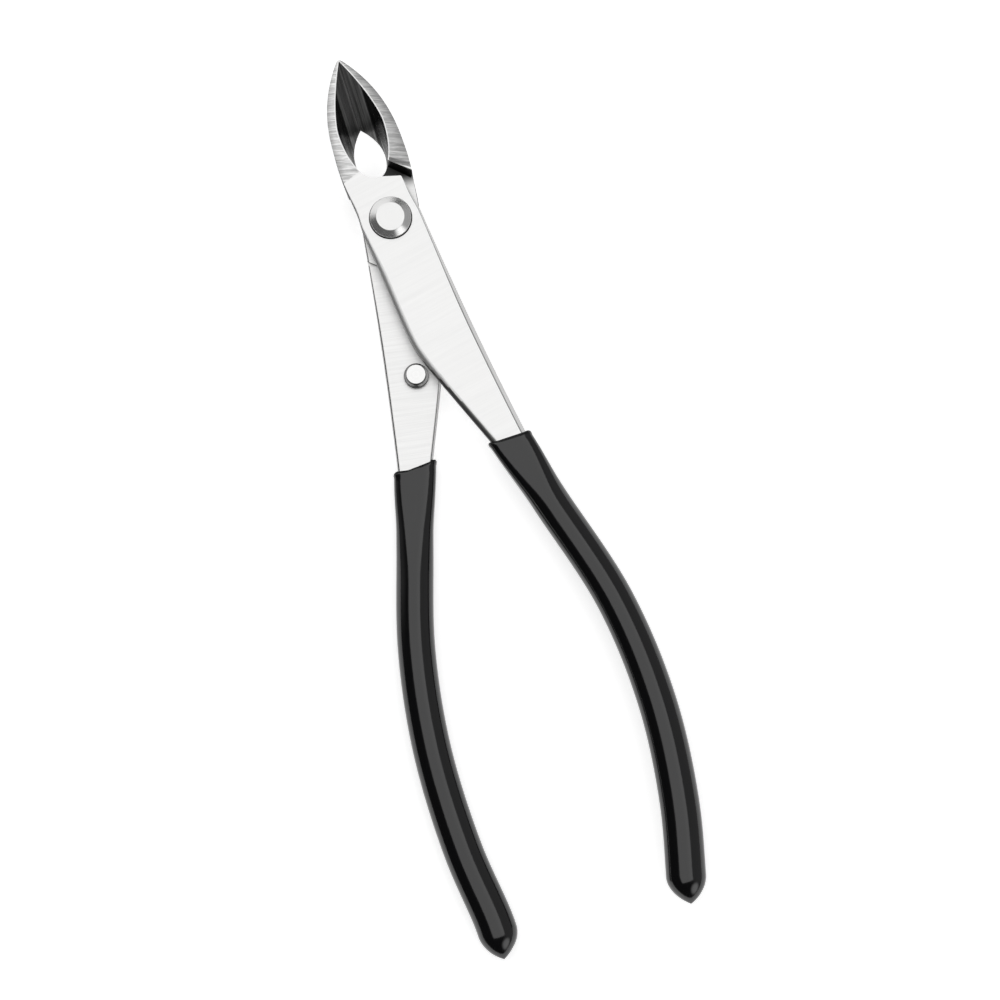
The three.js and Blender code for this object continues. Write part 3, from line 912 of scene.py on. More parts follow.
@dataclass(frozen=True)
class SteelFinish:
    """One way that the steel is ground, brushed or polished."""

    name: str
    light: float
    dark: float
    roughness: float
    roughness_spread: float
    turn: float
    along: float
    across: float
    contrast: float
    depth: float
    deep: float = 40.0
    grazing: float = 1.0
    metallic: float = 1.0
    tint: Spot = (1.0, 0.998, 0.992)

    def lay_marks(self, sheet: Sheet) -> Node:
        """Places the group that draws this finish's marks."""
        feeds = {
            "Vector": sheet.place,
            "Turn": math.radians(self.turn),
            "Along": self.along,
            "Across": self.across,
            "Deep": self.deep,
            "Contrast": self.contrast,
        }
        return sheet.use("grinding_streaks", feeds)

    def tone(self, sheet: Sheet, colour: Socket) -> Socket:
        """Gives the colour as it is; other finishes paint shade or light on some places."""
        return colour

    def make(self) -> None:
        """Builds the material: marks of the grinding over a metal surface."""
        sheet = Sheet(self.name)
        marks = self.lay_marks(sheet).outputs
        low, high = ((*[part * tone for part in self.tint], 1) for tone in (self.dark, self.light))
        feeds = {0: marks["Marks"], 6: low, 7: high}
        colour = sheet.add("ShaderNodeMix", feeds, data_type="RGBA").outputs[2]
        rough = {
            "Value": marks["Marks"],
            "To Min": self.roughness + self.roughness_spread,
            "To Max": self.roughness - self.roughness_spread,
        }
        bump = sheet.add("ShaderNodeBump", {"Distance": self.depth, "Height": marks["Height"]})
        feeds = {
            "Metallic": self.metallic,
            "Specular Tint": (self.grazing, self.grazing, self.grazing, 1),
            "Base Color": self.tone(sheet, colour),
            "Roughness": sheet.ramp(rough),
            "Normal": bump.outputs["Normal"],
        }
        sheet.feed(sheet.surface, feeds)


@dataclass(frozen=True)
class HollowFinish(SteelFinish):
    """The polished hollow, its dark colour painted shade, with more painted shade on its steep
    flanks and painted light on its foot beside the window.
    """

    flank: float = 0.0028
    flank_soft: float = 0.0004
    foot: float = 0.0155
    foot_soft: float = 0.0065
    centre: float = 0.0242
    centre_soft: float = 0.002
    flank_painted_shade: float = 0.12
    foot_painted_light: float = 2.2
    centre_painted_shade: float = 0.6

    def tone(self, sheet: Sheet, colour: Socket) -> Socket:
        """Paints shade on the flanks above the window and on the centre, and paints light on the
        foot beside it.
        """
        feeds = {
            "Flank": self.flank,
            "Flank Soft": self.flank_soft,
            "Foot": self.foot,
            "Foot Soft": self.foot_soft,
            "Centre": self.centre,
            "Centre Soft": self.centre_soft,
            "Flank Painted Shade": self.flank_painted_shade,
            "Foot Painted Light": self.foot_painted_light,
            "Centre Painted Shade": self.centre_painted_shade,
        }
        return sheet.toned(colour, "hollow_painted_shade", feeds)


@dataclass(frozen=True)
class FaceFinish(SteelFinish):
    """A flat face, with painted shade where the lap runs into the jaw's shoulder."""

    lap_height: float = 0.0067
    lap_thick: float = 0.0002
    shade_start: float = 0.0058
    shade_run: float = 0.0045
    shade_tone: float = 0.04

    def tone(self, sheet: Sheet, colour: Socket) -> Socket:
        """Paints shade on the lap's own face towards the shoulder."""
        feeds = {
            "Height": self.lap_height,
            "Thick": self.lap_thick,
            "Start": self.shade_start,
            "Run": self.shade_run,
            "Dark": self.shade_tone,
        }
        return sheet.toned(colour, "lap_shade", feeds)


@dataclass(frozen=True)
class TurnedFinish(SteelFinish):
    """A face turned on a lathe, with rings round its axis."""

    axis: Point = (0.0, 0.0)

    def lay_marks(self, sheet: Sheet) -> Node:
        """Places the group that draws rings round the axis."""
        feeds = {"Vector": sheet.place, "Axis": (*self.axis, 0)}
        feeds |= {"Across": self.across, "Contrast": self.contrast}
        return sheet.use("turned_rings", feeds)


@dataclass(frozen=True)
class VinylFinish:
    """The glossy black skin of the dipped grips."""

    name: str
    colour: Spot
    roughness: float
    roughness_spread: float
    ripple: float
    depth: float
    shine: float = 0.65

    def make(self) -> None:
        """Builds the material: a glossy skin with a faint ripple and duller patches."""
        sheet = Sheet(self.name)
        skin = sheet.use("dipped_skin", {"Vector": sheet.place, "Ripple": self.ripple}).outputs
        rough = {
            "Value": skin["Patches"],
            "To Min": self.roughness,
            "To Max": self.roughness + self.roughness_spread,
        }
        bump = sheet.add("ShaderNodeBump", {"Distance": self.depth, "Height": skin["Height"]})
        feeds = {
            "Base Color": (*self.colour, 1),
            "Specular IOR Level": self.shine,
            "Roughness": sheet.ramp(rough),
            "Normal": bump.outputs["Normal"],
        }
        sheet.feed(sheet.surface, feeds)


# Both faces carry painted shade on the lap by the jaw's shoulder.
UPPER_FACE = FaceFinish("upper_face_brushed", 0.75, 0.715, 0.34, 0.02, -10, 80, 2600, 1.8, 2e-6)
LOWER_FACE = FaceFinish("lower_face_brushed", 0.76, 0.68, 0.34, 0.02, 10.3, 60, 5200, 2.2, 2e-6)
# One ground finish in two copies: painted light on the left jaw's band and painted shade on the
# right jaw's band.
LEFT_BAND_PAINTED_LIGHT = SteelFinish("left_band_ground_painted_light", 0.88, 0.46, 0.5, 0.03, 18.25, 280, 5200, 3.0, 3e-6)
RIGHT_BAND_PAINTED_SHADE = SteelFinish("right_band_ground_painted_shade", 0.68, 0.36, 0.5, 0.03, 18.25, 280, 5200, 3.0, 3e-6)
# HOLLOW's dark colour is painted shade; its masks paint more shade on the flanks and centre and
# light on the foot.
HOLLOW = HollowFinish(
    "hollow_polished_painted_shade", 0.36, 0.12, 0.24, 0.04, 90, 22, 2400, 4.6, 3e-6, 25, 0.12, 0.6
)
# A darkened copy of the ground steel: painted shade on the upright sides, the bore and the core in
# the grip.
WALL_PAINTED_SHADE = SteelFinish("edge_wall_painted_shade", 0.2, 0.13, 0.3, 0.04, 84, 120, 3600, 1.6, 5e-6, 3600, 0.15)
# A darkened copy of the steel: painted shade on the rounded long edges.
EDGE = SteelFinish("edge_broken_painted_shade", 0.53, 0.44, 0.25, 0.02, 84, 90, 2600, 1.8, 2e-6, 2600)
RUBBED = SteelFinish("edge_rubbed", 0.7, 0.6, 0.42, 0.03, 84, 90, 2600, 1.8, 2e-6, 2600)
# A darker copy of the rubbed edge: painted shade on the inner edge past the knee.
INNER_EDGE_PAINTED_SHADE = SteelFinish("edge_painted_shade", 0.3, 0.18, 0.34, 0.04, 84, 120, 3600, 1.6, 5e-6, 3600, 0.15)
# SCALE is near-black painted shade, not forge scale: on the boss's step, the shoulder fillet and
# the rivet's seat.
SCALE = SteelFinish("dark_painted_shade", 0.035, 0.015, 0.4, 0.06, 30, 900, 900, 2.0, 1e-5, 900)
RIVET_TURNED = TurnedFinish(
    "rivet_turned", 0.76, 0.7, 0.22, 0.02, 0, 0, 2400, 1.6, 2e-6, metallic=0.85
)
PIN_TURNED = TurnedFinish(
    "pin_turned", 0.76, 0.7, 0.22, 0.02, 0, 0, 2400, 1.6, 2e-6, axis=(-0.00573, -0.03625)
)
# A darker copy of the pin's steel: painted shade on the pin's sides.
PIN_SIDE_PAINTED_SHADE = SteelFinish("pin_side_painted_shade", 0.34, 0.22, 0.3, 0.04, 0, 90, 1800, 1.8, 4e-6, 1800, 0.2)
SKIN = VinylFinish("grip_skin_dipped", (0.0015, 0.0015, 0.002), 0.1, 0.06, 900, 6e-6)
LIP = VinylFinish("grip_lip_dull", (0.004, 0.004, 0.0045), 0.6, 0.1, 900, 6e-6, 0.2)
STEEL_FINISHES = (UPPER_FACE, LOWER_FACE, LEFT_BAND_PAINTED_LIGHT, RIGHT_BAND_PAINTED_SHADE, HOLLOW, WALL_PAINTED_SHADE, EDGE, RUBBED)
STEEL_FINISHES += (INNER_EDGE_PAINTED_SHADE, SCALE, RIVET_TURNED, PIN_TURNED, PIN_SIDE_PAINTED_SHADE)


@dataclass
class Grip:
    """One dipped grip: a skin round the handle, with a lip and a round, pointed tail.

    The grip on the right jaw's lever is turned over.
    """

    name: str
    handle: HandleForm
    side: Side
    form: GripForm

    def __post_init__(self) -> None:
        """Draws the grip's centre line."""
        self.line = self.handle.centre_line()

    def _slim(self, distance: float) -> float:
        """Rises from 0 to 1 where the handle narrows to its tang."""
        return ease(distance, 0, self.form.turn_length)

    def _fade(self, distance: float) -> float:
        """Rises from 0 to 1 where the squarish mouth turns into the round grip."""
        return ease(distance, 0, self.line.length * self.handle.fade_share)

    def _metal_half(self, distance: float, fit: float) -> Point:
        """Gives half the width and height of the metal at a distance past the mouth."""
        form, reach = self.form, self.handle.mouth_reach
        width = self.handle.outer_edge(reach) - self.handle.inner_edge(reach)
        thickness = form.handle_top - form.handle_under
        return (
            lerp(width * fit, form.tang_width, self._slim(distance)) / 2,
            lerp(thickness * fit, form.tang_thickness, self._fade(distance)) / 2,
        )

    def _tail_share(self, distance: float) -> float:
        """Gives how much of the skin's section is left in its pointed tail."""
        left = self.line.length + self.form.tail_past - distance
        end = 1 - max(0.0, min(1.0, left / self.form.tail_length))
        return (1 - end**self.form.tail_power) ** self.form.tip_power

    def _on_ring(self, distance: float, half: Point, square: float, turn: float) -> Vector:
        """Places a point on a squarish ring round the centre line.

        Args:
            distance: The ring's distance past the mouth.
            half: Its half width and half height.
            square: The power of its curve; 2 is an ellipse and more is squarer.
            turn: The point's angle round the ring.

        Returns:
            The point.
        """
        form = self.form
        along = self.line.direction(distance)
        centre = self.line.point(distance)
        centre.x += self.handle.drip_shift * (1 - self._tail_share(distance))
        lift = ease(distance, 0, self.line.length / 2)
        centre.z = lerp((form.handle_top + form.handle_under) / 2, form.tail_lift, lift)
        square_to = Vector((-along.y, along.x, 0))
        across = Vector((1, 0, 0)).lerp(square_to, self._slim(distance))
        cos, sin = math.cos(turn), math.sin(turn)
        flat = math.copysign(abs(cos) ** (2 / square), cos) * half[0]
        rise = math.copysign(abs(sin) ** (2 / square), sin) * half[1]
        return centre + across.normalized() * flat + Vector((0, 0, rise))

    def _skin_half(self, distance: float) -> Point:
        """Gives half the width and height of the skin at a distance past the mouth."""
        form = self.form
        width, height = self._metal_half(distance, 1)
        swell = form.tail_swell * ease(distance, self.line.length / 4, self.line.length)
        width += lerp(form.mouth_wall, form.wall, self._slim(distance)) + swell
        height += lerp(form.mouth_cover, form.wall, self._fade(distance))
        turned = 1 - min(1.0, distance / form.lip_round)
        lip = form.lip_rise * (1 - ease(distance, form.lip_length / 2, form.lip_length))
        turn_in = 1 - math.sqrt(1 - turned * turned)
        tail = self._tail_share(distance)
        return (
            max(form.tip_radius, (width + lip - form.lip_round * turn_in) * tail),
            max(form.tip_radius, (height + lip - form.lip_drop * turn_in) * tail),
        )

    def _distances(self) -> list[float]:
        """Lists how far past the mouth each ring of the skin lies."""
        form = self.form
        end = self.line.length + form.tail_past
        distances = []
        for i in range(form.lip_steps):
            turn = math.pi / 2 * i / form.lip_steps
            distances.append(form.lip_round * (1 - math.cos(turn)))
        for i in range(form.stations):
            share = (i / form.stations) ** form.station_spread
            distances.append(lerp(form.lip_round, end - form.tail_length, share))
        for i in range(form.tail_steps + 1):
            share = 1 - i / form.tail_steps
            distances.append(end - form.tail_length * share**form.tail_spread)
        return distances

    def _skin(self) -> Piece:
        """Makes the outside of the grip as one closed body."""
        form = self.form
        distances = self._distances()

        def place(level: int, i: int) -> Vector:
            """Gives the place of one of the tool's points."""
            distance = distances[level]
            turn = math.tau * (i + 0.5) / form.sides
            square = lerp(form.mouth_square, form.square, self._fade(distance))
            point = self._on_ring(distance, self._skin_half(distance), square, turn)
            left = 1 - ease(distance, 0, form.lip_length * form.sag_spread)
            wave = form.lip_wave * math.sin(point.x * math.tau / form.wave_length + turn)
            sag = form.lip_sag * (1 - abs(math.cos(turn)) ** (4 / square))
            return point + Vector((0, left * (wave - sag), 0))

        skin = Bench.tube(self.name, form.sides, len(distances) - 1, place)
        Bench.coat(skin, SKIN, LIP)
        rolled_from = -self.handle.mouth_reach - form.lip_length
        for face in skin.data.polygons:
            if face.center.y > rolled_from and face.normal.y > form.lip_tilt:
                face.material_index = 1
        return skin

    def _plate_pocket(self) -> Piece:
        """Makes the plug that leaves room for the end of the bare handle."""
        form, handle, cut = self.form, self.handle, self.form.side_round
        low = form.handle_under - form.clearance
        high = form.handle_top + form.clearance
        start = handle.mouth_reach - form.lip_length * 2
        end = handle.mouth_reach + form.plate_in_grip + form.clearance

        def place(level: int, i: int) -> Vector:
            """Gives the place of one of the tool's points."""
            reach = lerp(start, end, level / form.pocket_steps)
            inner = handle.inner_edge(reach) - form.clearance
            outer = handle.outer_edge(reach) + form.clearance
            corners = (
                (inner + cut, low),
                (outer - cut, low),
                (outer, low + cut),
                (outer, high - cut),
                (outer - cut, high),
                (inner + cut, high),
                (inner, high - cut),
                (inner, low + cut),
            )
            x, z = corners[i]
            return Vector((x, -reach, z))

        return Bench.tube("plate_pocket", 8, form.pocket_steps, place)

    def tang(self, grow: float) -> Piece:
        """Makes the slim metal core inside the grip.

        Args:
            grow: How much wider it is all round; more than 0 makes the plug for its pocket.

        Returns:
            A closed rod along the centre line.
        """
        form = self.form
        end = self.line.length - form.tail_gap - form.tail_round + grow

        def place(level: int, i: int) -> Vector:
            """Gives the place of one of the tool's points."""
            distance = lerp(form.tang_start - grow, end, level / form.tang_steps)
            width, height = self._metal_half(distance, form.tang_fit_share)
            turn = math.tau * (i + 0.5) / form.tang_sides
            half = (width + grow, height + grow)
            return self._on_ring(distance, half, form.tang_square, turn)

        return Bench.tube("tang", form.tang_sides, form.tang_steps, place)

    def build(self) -> Piece:
        """Makes the finished grip and gives it, in millimetres."""
        piece = self._skin()
        Bench.cut(piece, self._plate_pocket())
        Bench.cut(piece, self.tang(self.form.clearance))
        if self.side is Side.RIGHT:
            Bench.turn_over(piece)
        Bench.face_out(piece)
        Bench.shade(piece, self.form.shade_angle)
        return piece


@dataclass
class Lever:
    """One forged and ground lever: its jaw, its half of the lap and its handle.

    The lever of the right jaw is turned over.
    """

    name: str
    grip: Grip
    face: SteelFinish
    band: SteelFinish
    form: HeadForm

    def __post_init__(self) -> None:
        """Takes over the handle and the side of its grip."""
        self.handle, self.side = self.grip.handle, self.grip.side

    def _edge_tool(self, side: int, edge: LongEdge) -> Piece:
        """Makes the tool that rounds one long edge of the lever.

        Args:
            side: +1 for the outer edge and -1 for the inner one.
            edge: Which edge it is and how round it gets.

        Returns:
            A long tool that runs along the edge.
        """
        form, handle, over = self.form, self.handle, self.form.over
        edge_at = handle.outer_edge if side > 0 else handle.inner_edge
        end = min(edge.end, handle.mouth_reach + form.plate_in_grip + over)
        between = [reach for reach in form.edge_reaches(handle) if edge.start < reach < end]
        reaches = [edge.start, *between, end]
        # The rounded edges get painted shade from EDGE.
        size, shape, finish = edge.size, form.round_shape(), EDGE
        if edge.up > 0 and side > 0:
            size, shape = size * handle.outer_round, form.bevel_shape
        elif edge.up > 0:
            size, shape, finish = size * handle.inner_round, form.swell_shape, RUBBED

        def place(level: int, i: int) -> Vector:
            """Gives the place of one of the tool's points."""
            reach = reaches[level]
            width = form.edge_round(size, reach, side)
            corners = [(width * x, width * z) for x, z in shape]
            corners += [(over, corners[-1][1]), (over, -over), (-width, -over)]
            x, z = corners[i]
            return Vector((edge_at(reach) + side * x, -reach, edge.face - edge.up * z))

        tool = Bench.tube("edge_tool", len(shape) + 3, len(reaches) - 1, place)
        return Bench.coat(tool, finish)

    def _hollow_tool(self) -> Piece:
        """Makes the wheel that grinds the hollow, a leaf-shaped plug that narrows downwards."""
        form = self.form

        def place(level: int, i: int) -> Vector:
            """Gives the place of one of the tool's points."""
            depth = (level - 1) / form.hollow_levels
            point, wide, foot = form.hollow_reaches(depth)
            turn = math.tau * i / form.hollow_sides
            swing = math.cos(turn)
            run = (point - wide) * swing**form.hollow_spread if swing > 0 else (wide - foot) * swing
            half = form.hollow_half(depth, wide + run)
            if i * 2 % form.hollow_sides == 0:
                half = 0.0
            side = math.copysign(1, math.sin(turn))
            return Vector((side * half, wide + run, form.half - depth * form.thickness))

        tool = Bench.tube("hollow_tool", form.hollow_sides, form.hollow_levels + 2, place)
        return Bench.coat(tool, HOLLOW)

    def _flush_tool(self) -> Piece:
        """Makes the block that grinds the slanted, slightly hollow face beyond the jaws."""
        form = self.form
        steps = form.hollow_levels

        def place(level: int, i: int) -> Vector:
            """Gives the place of one of the tool's points."""
            x = (level * 2 - 1) * form.jaw_half * 2
            if i <= steps + 2:
                depth = (i - 1) / steps
                return Vector((x, form.flush_face(depth), form.half - depth * form.thickness))
            z = -form.half - form.over if i == steps + 3 else form.half + form.over
            return Vector((x, form.tip_reach * 2, z))

        return Bench.coat(Bench.tube("flush_tool", steps + 5, 1, place), self.band)

    def _band_tool(self) -> Piece:
        """Makes the wedge that grinds the band outside the near rim."""
        form = self.form
        point = form.hollow_reaches(0)[0]
        foot, ramp = form.band_outer_reach, form.band_ramp
        if self.side is Side.RIGHT:
            foot, ramp = form.right_band_reach, form.right_band_ramp

        def place(level: int, i: int) -> Vector:
            """Gives the place of one of the tool's points."""
            share = (level / form.band_stations) ** form.band_spread
            inner_reach = lerp(form.band_inner_reach, point, share)
            far = form.tip_reach + form.tip_overrun * share * share
            outer_reach = lerp(foot, far, share)
            inner = form.hollow_half(0, inner_reach) + form.rim_edge
            width = form.nose_half(min(outer_reach, form.tip_reach))
            outer = max(inner, width) + form.band_past
            fall = (outer - inner) * form.band_slope * ease(share, 0, ramp)
            x, y = (inner, inner_reach) if i in (0, 3) else (outer, outer_reach)
            z = (form.half, form.half - fall, form.half + form.over, form.half + form.over)[i]
            return Vector((self.side.value * x, y, z))

        return Bench.coat(Bench.tube("band_tool", 4, form.band_stations, place), self.band)

    def _round_tool(self, radius: float, low: float, high: float, finish: SteelFinish) -> Piece:
        """Turns a plain round tool about the rivet's axis."""
        tool = Bench.turned("round_tool", ((radius, low), (radius, high)), self.form.round_sides)
        return Bench.coat(tool, finish)

    def _relief_tool(self) -> Piece:
        """Makes the block that thins the handle beyond the round boss of the lap."""
        form, far = self.form, UPPER_HANDLE.grip_reach
        outline = [(-far, -far), (far, -far), (far, 0), (-far, 0)]
        block = Bench.prism("relief_tool", outline, -form.half, form.handle_step)
        Bench.coat(block, self.face)
        # The boss's round wall gets a line of painted shade.
        boss = self._round_tool(form.boss_radius, -form.thickness, form.thickness, SCALE)
        Bench.cut(block, boss)
        return block

    def _half_jaw(self) -> Piece:
        """Makes the half of the jaw that lies on the other side of the lap."""
        form = self.form
        outline = form.jaw_outline(self.handle)
        jaw = Bench.prism("half_jaw", outline, -form.half, form.lap_face)
        ends = [Vector((*point, -form.half)) for point in outline[-2:]]

        def at_shoulder(spot: Vector) -> bool:
            """Says whether a spot is an end of the shoulder's edge."""
            return min((spot - end).length for end in ends) < form.seam

        Bench.break_edge(jaw, at_shoulder, form.shoulder_edge, form.shoulder_facets)
        return Bench.coat(jaw, self.face)

    def _shoulder_fillet(self) -> Piece:
        """Makes the hollow slope that leads from the jaw's shoulder down to the lap."""
        form, steps, back = self.form, self.form.fillet_steps, self.form.fillet_back
        start, foot = (Vector(point) for point in form.jaw_outline(self.handle)[-2:])
        along = (foot - start).normalized()
        away = Vector((along.y, -along.x))
        rise = form.half - form.shoulder_edge * 2

        def place(level: int, i: int) -> Vector:
            """Gives the place of one of the tool's points."""
            run_on = lerp(form.fillet_inset, form.fillet_end, level / steps)
            run = form.fillet_run + form.fillet_spread * run_on
            if i > steps:
                inside = form.lap_face + back
                out, z = ((run, inside), (-back, inside), (-back, -rise))[i - steps - 1]
            else:
                turn = math.pi / 2 * i / steps
                out = run * (1 - math.cos(turn))
                z = -rise + (rise + form.lap_face) * math.sin(turn)
            spot = start + along * run_on + away * out
            spot.x = max(spot.x, self.handle.inner_edge(-spot.y) + form.least_round)
            return Vector((*spot, z))

        # The fillet is coated with near-black painted shade.
        return Bench.coat(Bench.tube("shoulder_fillet", steps + 4, steps, place), SCALE)

    def blank(self) -> Piece:
        """Forges the lever with its jaw on the left and its handle above the lap."""
        form = self.form
        piece = Bench.prism(self.name, form.lever_outline(self.handle), form.lap_face, form.half)
        low = form.lap_nose_reach - form.lap_corner_round

        def at_nose(spot: Vector) -> bool:
            """Says whether a spot is on the lap's nose."""
            within = low < spot.y < form.lap_nose_reach + form.seam
            return within and spot.z > form.lap_face and spot.x > -form.lap_corner_round

        Bench.break_edge(piece, at_nose, form.nose_edge, form.nose_facets)
        Bench.coat(piece, self.face)
        Bench.cut(piece, self._relief_tool())
        for edge in form.long_edges():
            Bench.cut(piece, self._edge_tool(1, edge))
            Bench.cut(piece, self._edge_tool(-1, edge))
        Bench.cut(piece, self._half_jaw(), Cut.JOIN)
        Bench.cut(piece, self._shoulder_fillet(), Cut.JOIN)
        Bench.cut(piece, Bench.coat(self.grip.tang(0.0), WALL_PAINTED_SHADE), Cut.JOIN)
        bore = self._round_tool(form.shank_hole, -form.thickness, form.thickness, WALL_PAINTED_SHADE)
        Bench.cut(piece, bore)
        # The rivet's seat is a ring of painted shade round its head.
        floor = form.half - form.seat_depth
        Bench.cut(piece, self._round_tool(form.seat_radius, floor, form.half * 2, SCALE))
        return piece

    def build(self) -> Piece:
        """Makes the finished lever and gives it, in millimetres."""
        piece = self.blank()
        if self.side is Side.RIGHT:
            Bench.turn_over(piece)
        for tool in (self._hollow_tool(), self._flush_tool(), self._band_tool()):
            Bench.cut(piece, tool)
        self._dress_walls(piece)
        Bench.face_out(piece)
        Bench.shade(piece, self.form.shade_angle)
        return piece

    def _dress_walls(self, piece: Piece) -> None:
        """Gives the upright sides and the inner edge past the knee their finishes of painted shade.
        """
        Bench.coat(piece, INNER_EDGE_PAINTED_SHADE, WALL_PAINTED_SHADE)
        names = [material.name for material in piece.data.materials]
        for face in piece.data.polygons:
            # Upright faces of the face finish get painted shade.
            upright = abs(face.normal.z) < self.form.upright_tilt
            if upright and names[face.material_index] == self.face.name:
                face.material_index = len(names) - 1
            elif names[face.material_index] == RUBBED.name and self._shaded(face.center):
                face.material_index = len(names) - 2

    def _shaded(self, spot: Vector) -> bool:
        """Says whether a spot of the inner edge past the handle's knee gets painted shade."""
        handle = self.handle
        inset = spot.x - handle.inner_edge(-spot.y)
        return inset < handle.shade_width * ease(-spot.y, handle.shade_start, handle.shade_full)


@dataclass(frozen=True)
class Rivet:
    """The pivot rivet, with a coned head in front and a lower one behind."""

    tail: tuple[Point, ...] = ((3.2, -6.7), (4.6, -5.45), (4.6, -5.1), (3.0, -5.1))
    head: tuple[Point, ...] = ((3.0, 5.1), (4.82, 5.1), (4.82, 5.95), (4.72, 6.1), (3.3, 7.1))
    sides: int = 96
    edge_round: float = 0.12
    edge_facets: int = 3
    shade_angle: float = 35.0

    def build(self) -> Piece:
        """Turns the rivet on its axis and breaks its edges."""
        piece = Bench.turned("pivot_rivet_steel", self.tail + self.head, self.sides)
        Bench.coat(piece, RIVET_TURNED)
        Bench.soften(piece, self.edge_round, self.edge_facets)
        Bench.shade(piece, self.shade_angle)
        return piece


@dataclass(frozen=True)
class StopPin:
    """The pin on the lower lever that stops the upper handle."""

    shank: tuple[Point, ...] = ((2.0, -2.4), (2.0, 0.1))
    head: tuple[Point, ...] = ((2.84, 0.1), (2.86, 1.5), (2.8, 1.75))
    stub: tuple[Point, ...] = ((2.34, 2.3), (2.3, 3.4), (2.24, 3.5))
    height: float = -1.25
    sides: int = 72
    edge_round: float = 0.05
    edge_facets: int = 2
    level_tilt: float = 0.97
    shade_angle: float = 35.0

    def build(self) -> Piece:
        """Turns the pin and stands it at its place on the lower handle."""
        profile = self.shank + self.head + self.stub
        piece = Bench.turned("stop_pin_steel", profile, self.sides)
        Bench.coat(piece, PIN_TURNED, PIN_SIDE_PAINTED_SHADE)
        Bench.soften(piece, self.edge_round, self.edge_facets)
        # All but the pin's flat top get painted shade.
        for face in piece.data.polygons:
            face.material_index = 0 if face.normal.z > self.level_tilt else 1
        low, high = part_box("stop_pin")
        centre = (low + high) / 2 / METRES_PER_MM
        Bench.move(piece, (centre.x, centre.y, self.height))
        Bench.shade(piece, self.shade_angle)
        return piece


@dataclass(frozen=True)
class PaleWall:
    """A soft patch of light in the room: where it is seen, how wide it is and how bright."""

    towards: Spot
    inner: float
    outer: float
    glow: float


class Room(Nodes):
    """The room's nodes, with a glow where each pale wall is seen."""

    def glow(self, wall: PaleWall) -> Socket:
        """Gives the glow of one wall in the direction looked in."""
        looked = self.add("ShaderNodeTexCoord").outputs["Generated"]
        towards = Vector(wall.towards).normalized()
        feeds = {
            "Value": self.vector("DOT_PRODUCT", looked, towards).outputs["Value"],
            "From Min": math.cos(math.radians(wall.outer)),
            "From Max": math.cos(math.radians(wall.inner)),
            "To Max": wall.glow,
        }
        return self.ramp(feeds, "SMOOTHSTEP")


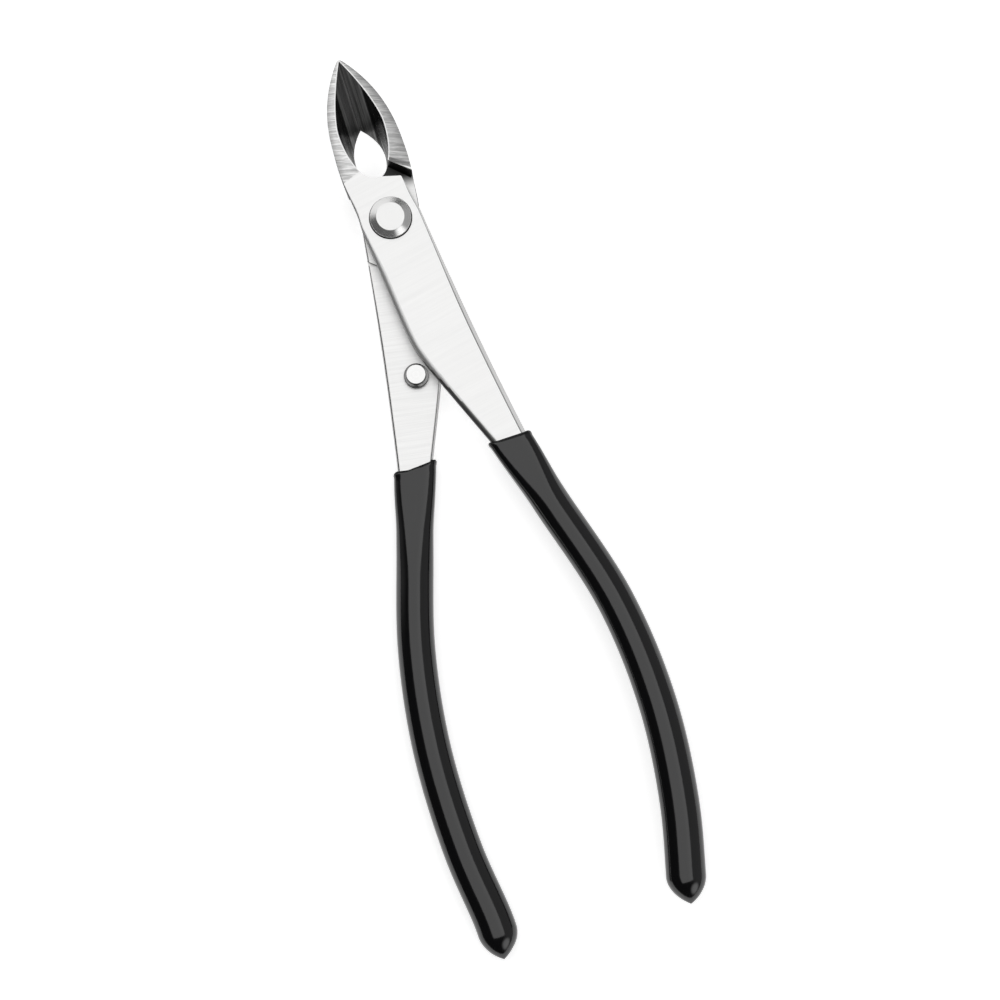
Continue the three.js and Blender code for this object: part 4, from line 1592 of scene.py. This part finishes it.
@dataclass(frozen=True)
class Studio:
    """The pale floor, the room, the soft light and the camera."""

    room_dark: float = 0.05
    room_walls: tuple[PaleWall, ...] = (
        PaleWall((-0.32, 1.0, 0.12), 20, 54, 1.05),
        PaleWall((1.0, -0.1, 0.5), 20, 60, 0.3),
        PaleWall((0.38, -0.92, 0.42), 7, 24, 1.6),
    )
    floor_half: float = 3.0
    floor_drop: float = 0.0003
    floor_tone: float = 0.93
    floor_roughness: float = 0.9
    floor_lift: float = 0.55
    floor_fade: Point = (0.3, 0.8)
    lamp_size: Point = (1.1, 1.6)
    lamp_place: Spot = (-0.02, 0.12, 1.0)
    lamp_glow: float = 1.25
    lens: float = 93.392
    sensor: float = 36.0
    nearest: float = 0.01
    camera_right: Spot = (0.94969913, -0.31316381, 0.0)
    camera_up: Spot = (0.31144826, 0.94449658, 0.10452846)
    camera_place: Spot = (-15.9851604, -129.51594019, 596.71313722)

    def build_floor(self) -> None:
        """Lays the pale floor, which fades to white away from the cutter."""
        Bench.clear()
        place = (0, 0, -self.floor_drop)
        bpy.ops.mesh.primitive_plane_add(size=self.floor_half * 2, location=place)
        floor = bpy.context.active_object
        floor.name = "floor"
        sheet = Sheet("floor_pale")
        path = sheet.add("ShaderNodeLightPath").outputs
        seen = sheet.maths("MAXIMUM", path["Is Camera Ray"], path["Is Glossy Ray"])
        near, far = self.floor_fade
        reach = sheet.vector("LENGTH", sheet.place).outputs["Value"]
        feeds = {"Value": reach, "From Min": near, "From Max": far, "To Min": self.floor_lift}
        lift = sheet.ramp(feeds, "SMOOTHSTEP")
        tone = self.floor_tone
        feeds = {
            "Base Color": (tone, tone, tone, 1),
            "Roughness": self.floor_roughness,
            "Specular IOR Level": 0.0,
            "Emission Color": WHITE,
            "Emission Strength": sheet.maths("MULTIPLY", seen, lift),
        }
        sheet.feed(sheet.surface, feeds)
        floor.data.materials.append(sheet.material)

    def build_world(self) -> None:
        """Surrounds the cutter with a dark room that has a few paler walls."""
        world = bpy.data.worlds.new("room")
        bpy.context.scene.world = world
        world.use_nodes = True
        room = Room(world.node_tree)
        total: object = self.room_dark
        for wall in self.room_walls:
            total = room.maths("ADD", total, room.glow(wall))
        path = room.add("ShaderNodeLightPath").outputs
        seen = room.maths("MAXIMUM", total, path["Is Camera Ray"])
        background = world.node_tree.nodes["Background"]
        room.feed(background, {"Color": WHITE, "Strength": seen})

    def build_lights(self) -> None:
        """Hangs one large soft light overhead."""
        lamp = bpy.data.lights.new("overhead_softbox", "AREA")
        lamp.shape = "RECTANGLE"
        lamp.size, lamp.size_y = self.lamp_size
        lamp.energy = self.lamp_glow * math.pi * lamp.size * lamp.size_y
        light = bpy.data.objects.new("overhead_softbox", lamp)
        light.location = self.lamp_place
        light.visible_camera = False
        bpy.context.scene.collection.objects.link(light)

    def build_camera(self) -> None:
        """Sets the camera where the photograph was taken from."""
        data = bpy.data.cameras.new("camera")
        data.sensor_width, data.lens, data.clip_start = self.sensor, self.lens, self.nearest
        camera = bpy.data.objects.new("camera", data)
        right, up = Vector(self.camera_right), Vector(self.camera_up)
        matrix = camera.matrix_world.to_3x3()
        matrix.col[0], matrix.col[1], matrix.col[2] = right, up, right.cross(up)
        camera.matrix_world = matrix.to_4x4()
        x, y, z = self.camera_place
        camera.location = Vector((x, y, z + PIVOT_HEIGHT)) * METRES_PER_MM
        bpy.context.scene.collection.objects.link(camera)
        bpy.context.scene.camera = camera

    def build(self) -> None:
        """Sets up all that isn't part of the cutter."""
        self.build_floor()
        self.build_world()
        self.build_lights()
        self.build_camera()
        bpy.context.scene.view_settings.view_transform = "Standard"


def set_down(piece: Piece, body: str, node: str) -> None:
    """Sets a finished piece in the frame and says what it rides on and stands for.

    Args:
        piece: The finished piece, in millimetres.
        body: The body that it moves with.
        node: The solid that it replaces.
    """
    Bench.set_in_frame(piece)
    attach(piece, body)
    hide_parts(node)
    LOG.info("%s: %d faces, rides on %s", piece.name, len(piece.data.polygons), body)


def main() -> None:
    """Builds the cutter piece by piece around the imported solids."""
    logging.basicConfig(level=logging.INFO, format="%(message)s")
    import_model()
    for draw in (draw_streaks, draw_rings, draw_hollow_painted_shade, draw_lap_shade, draw_skin):
        draw()
    for finish in (*STEEL_FINISHES, SKIN, LIP):
        finish.make()
    head = HeadForm()
    skin = GripForm()
    Studio().build()
    upper_grip = Grip("upper_grip_vinyl", UPPER_HANDLE, Side.LEFT, skin)
    lower_grip = Grip("lower_grip_vinyl", LOWER_HANDLE, Side.RIGHT, skin)
    upper = Lever("upper_lever_steel", upper_grip, UPPER_FACE, LEFT_BAND_PAINTED_LIGHT, head)
    lower = Lever("lower_lever_steel", lower_grip, LOWER_FACE, RIGHT_BAND_PAINTED_SHADE, head)
    set_down(lower.build(), "lower", "lower_lever")
    set_down(upper.build(), "upper", "upper_lever")
    set_down(Rivet().build(), "lower", "pivot_rivet")
    set_down(StopPin().build(), "lower", "stop_pin")
    set_down(lower_grip.build(), "lower", "lower_grip")
    set_down(upper_grip.build(), "upper", "upper_grip")


if __name__ == "__main__":
    main()
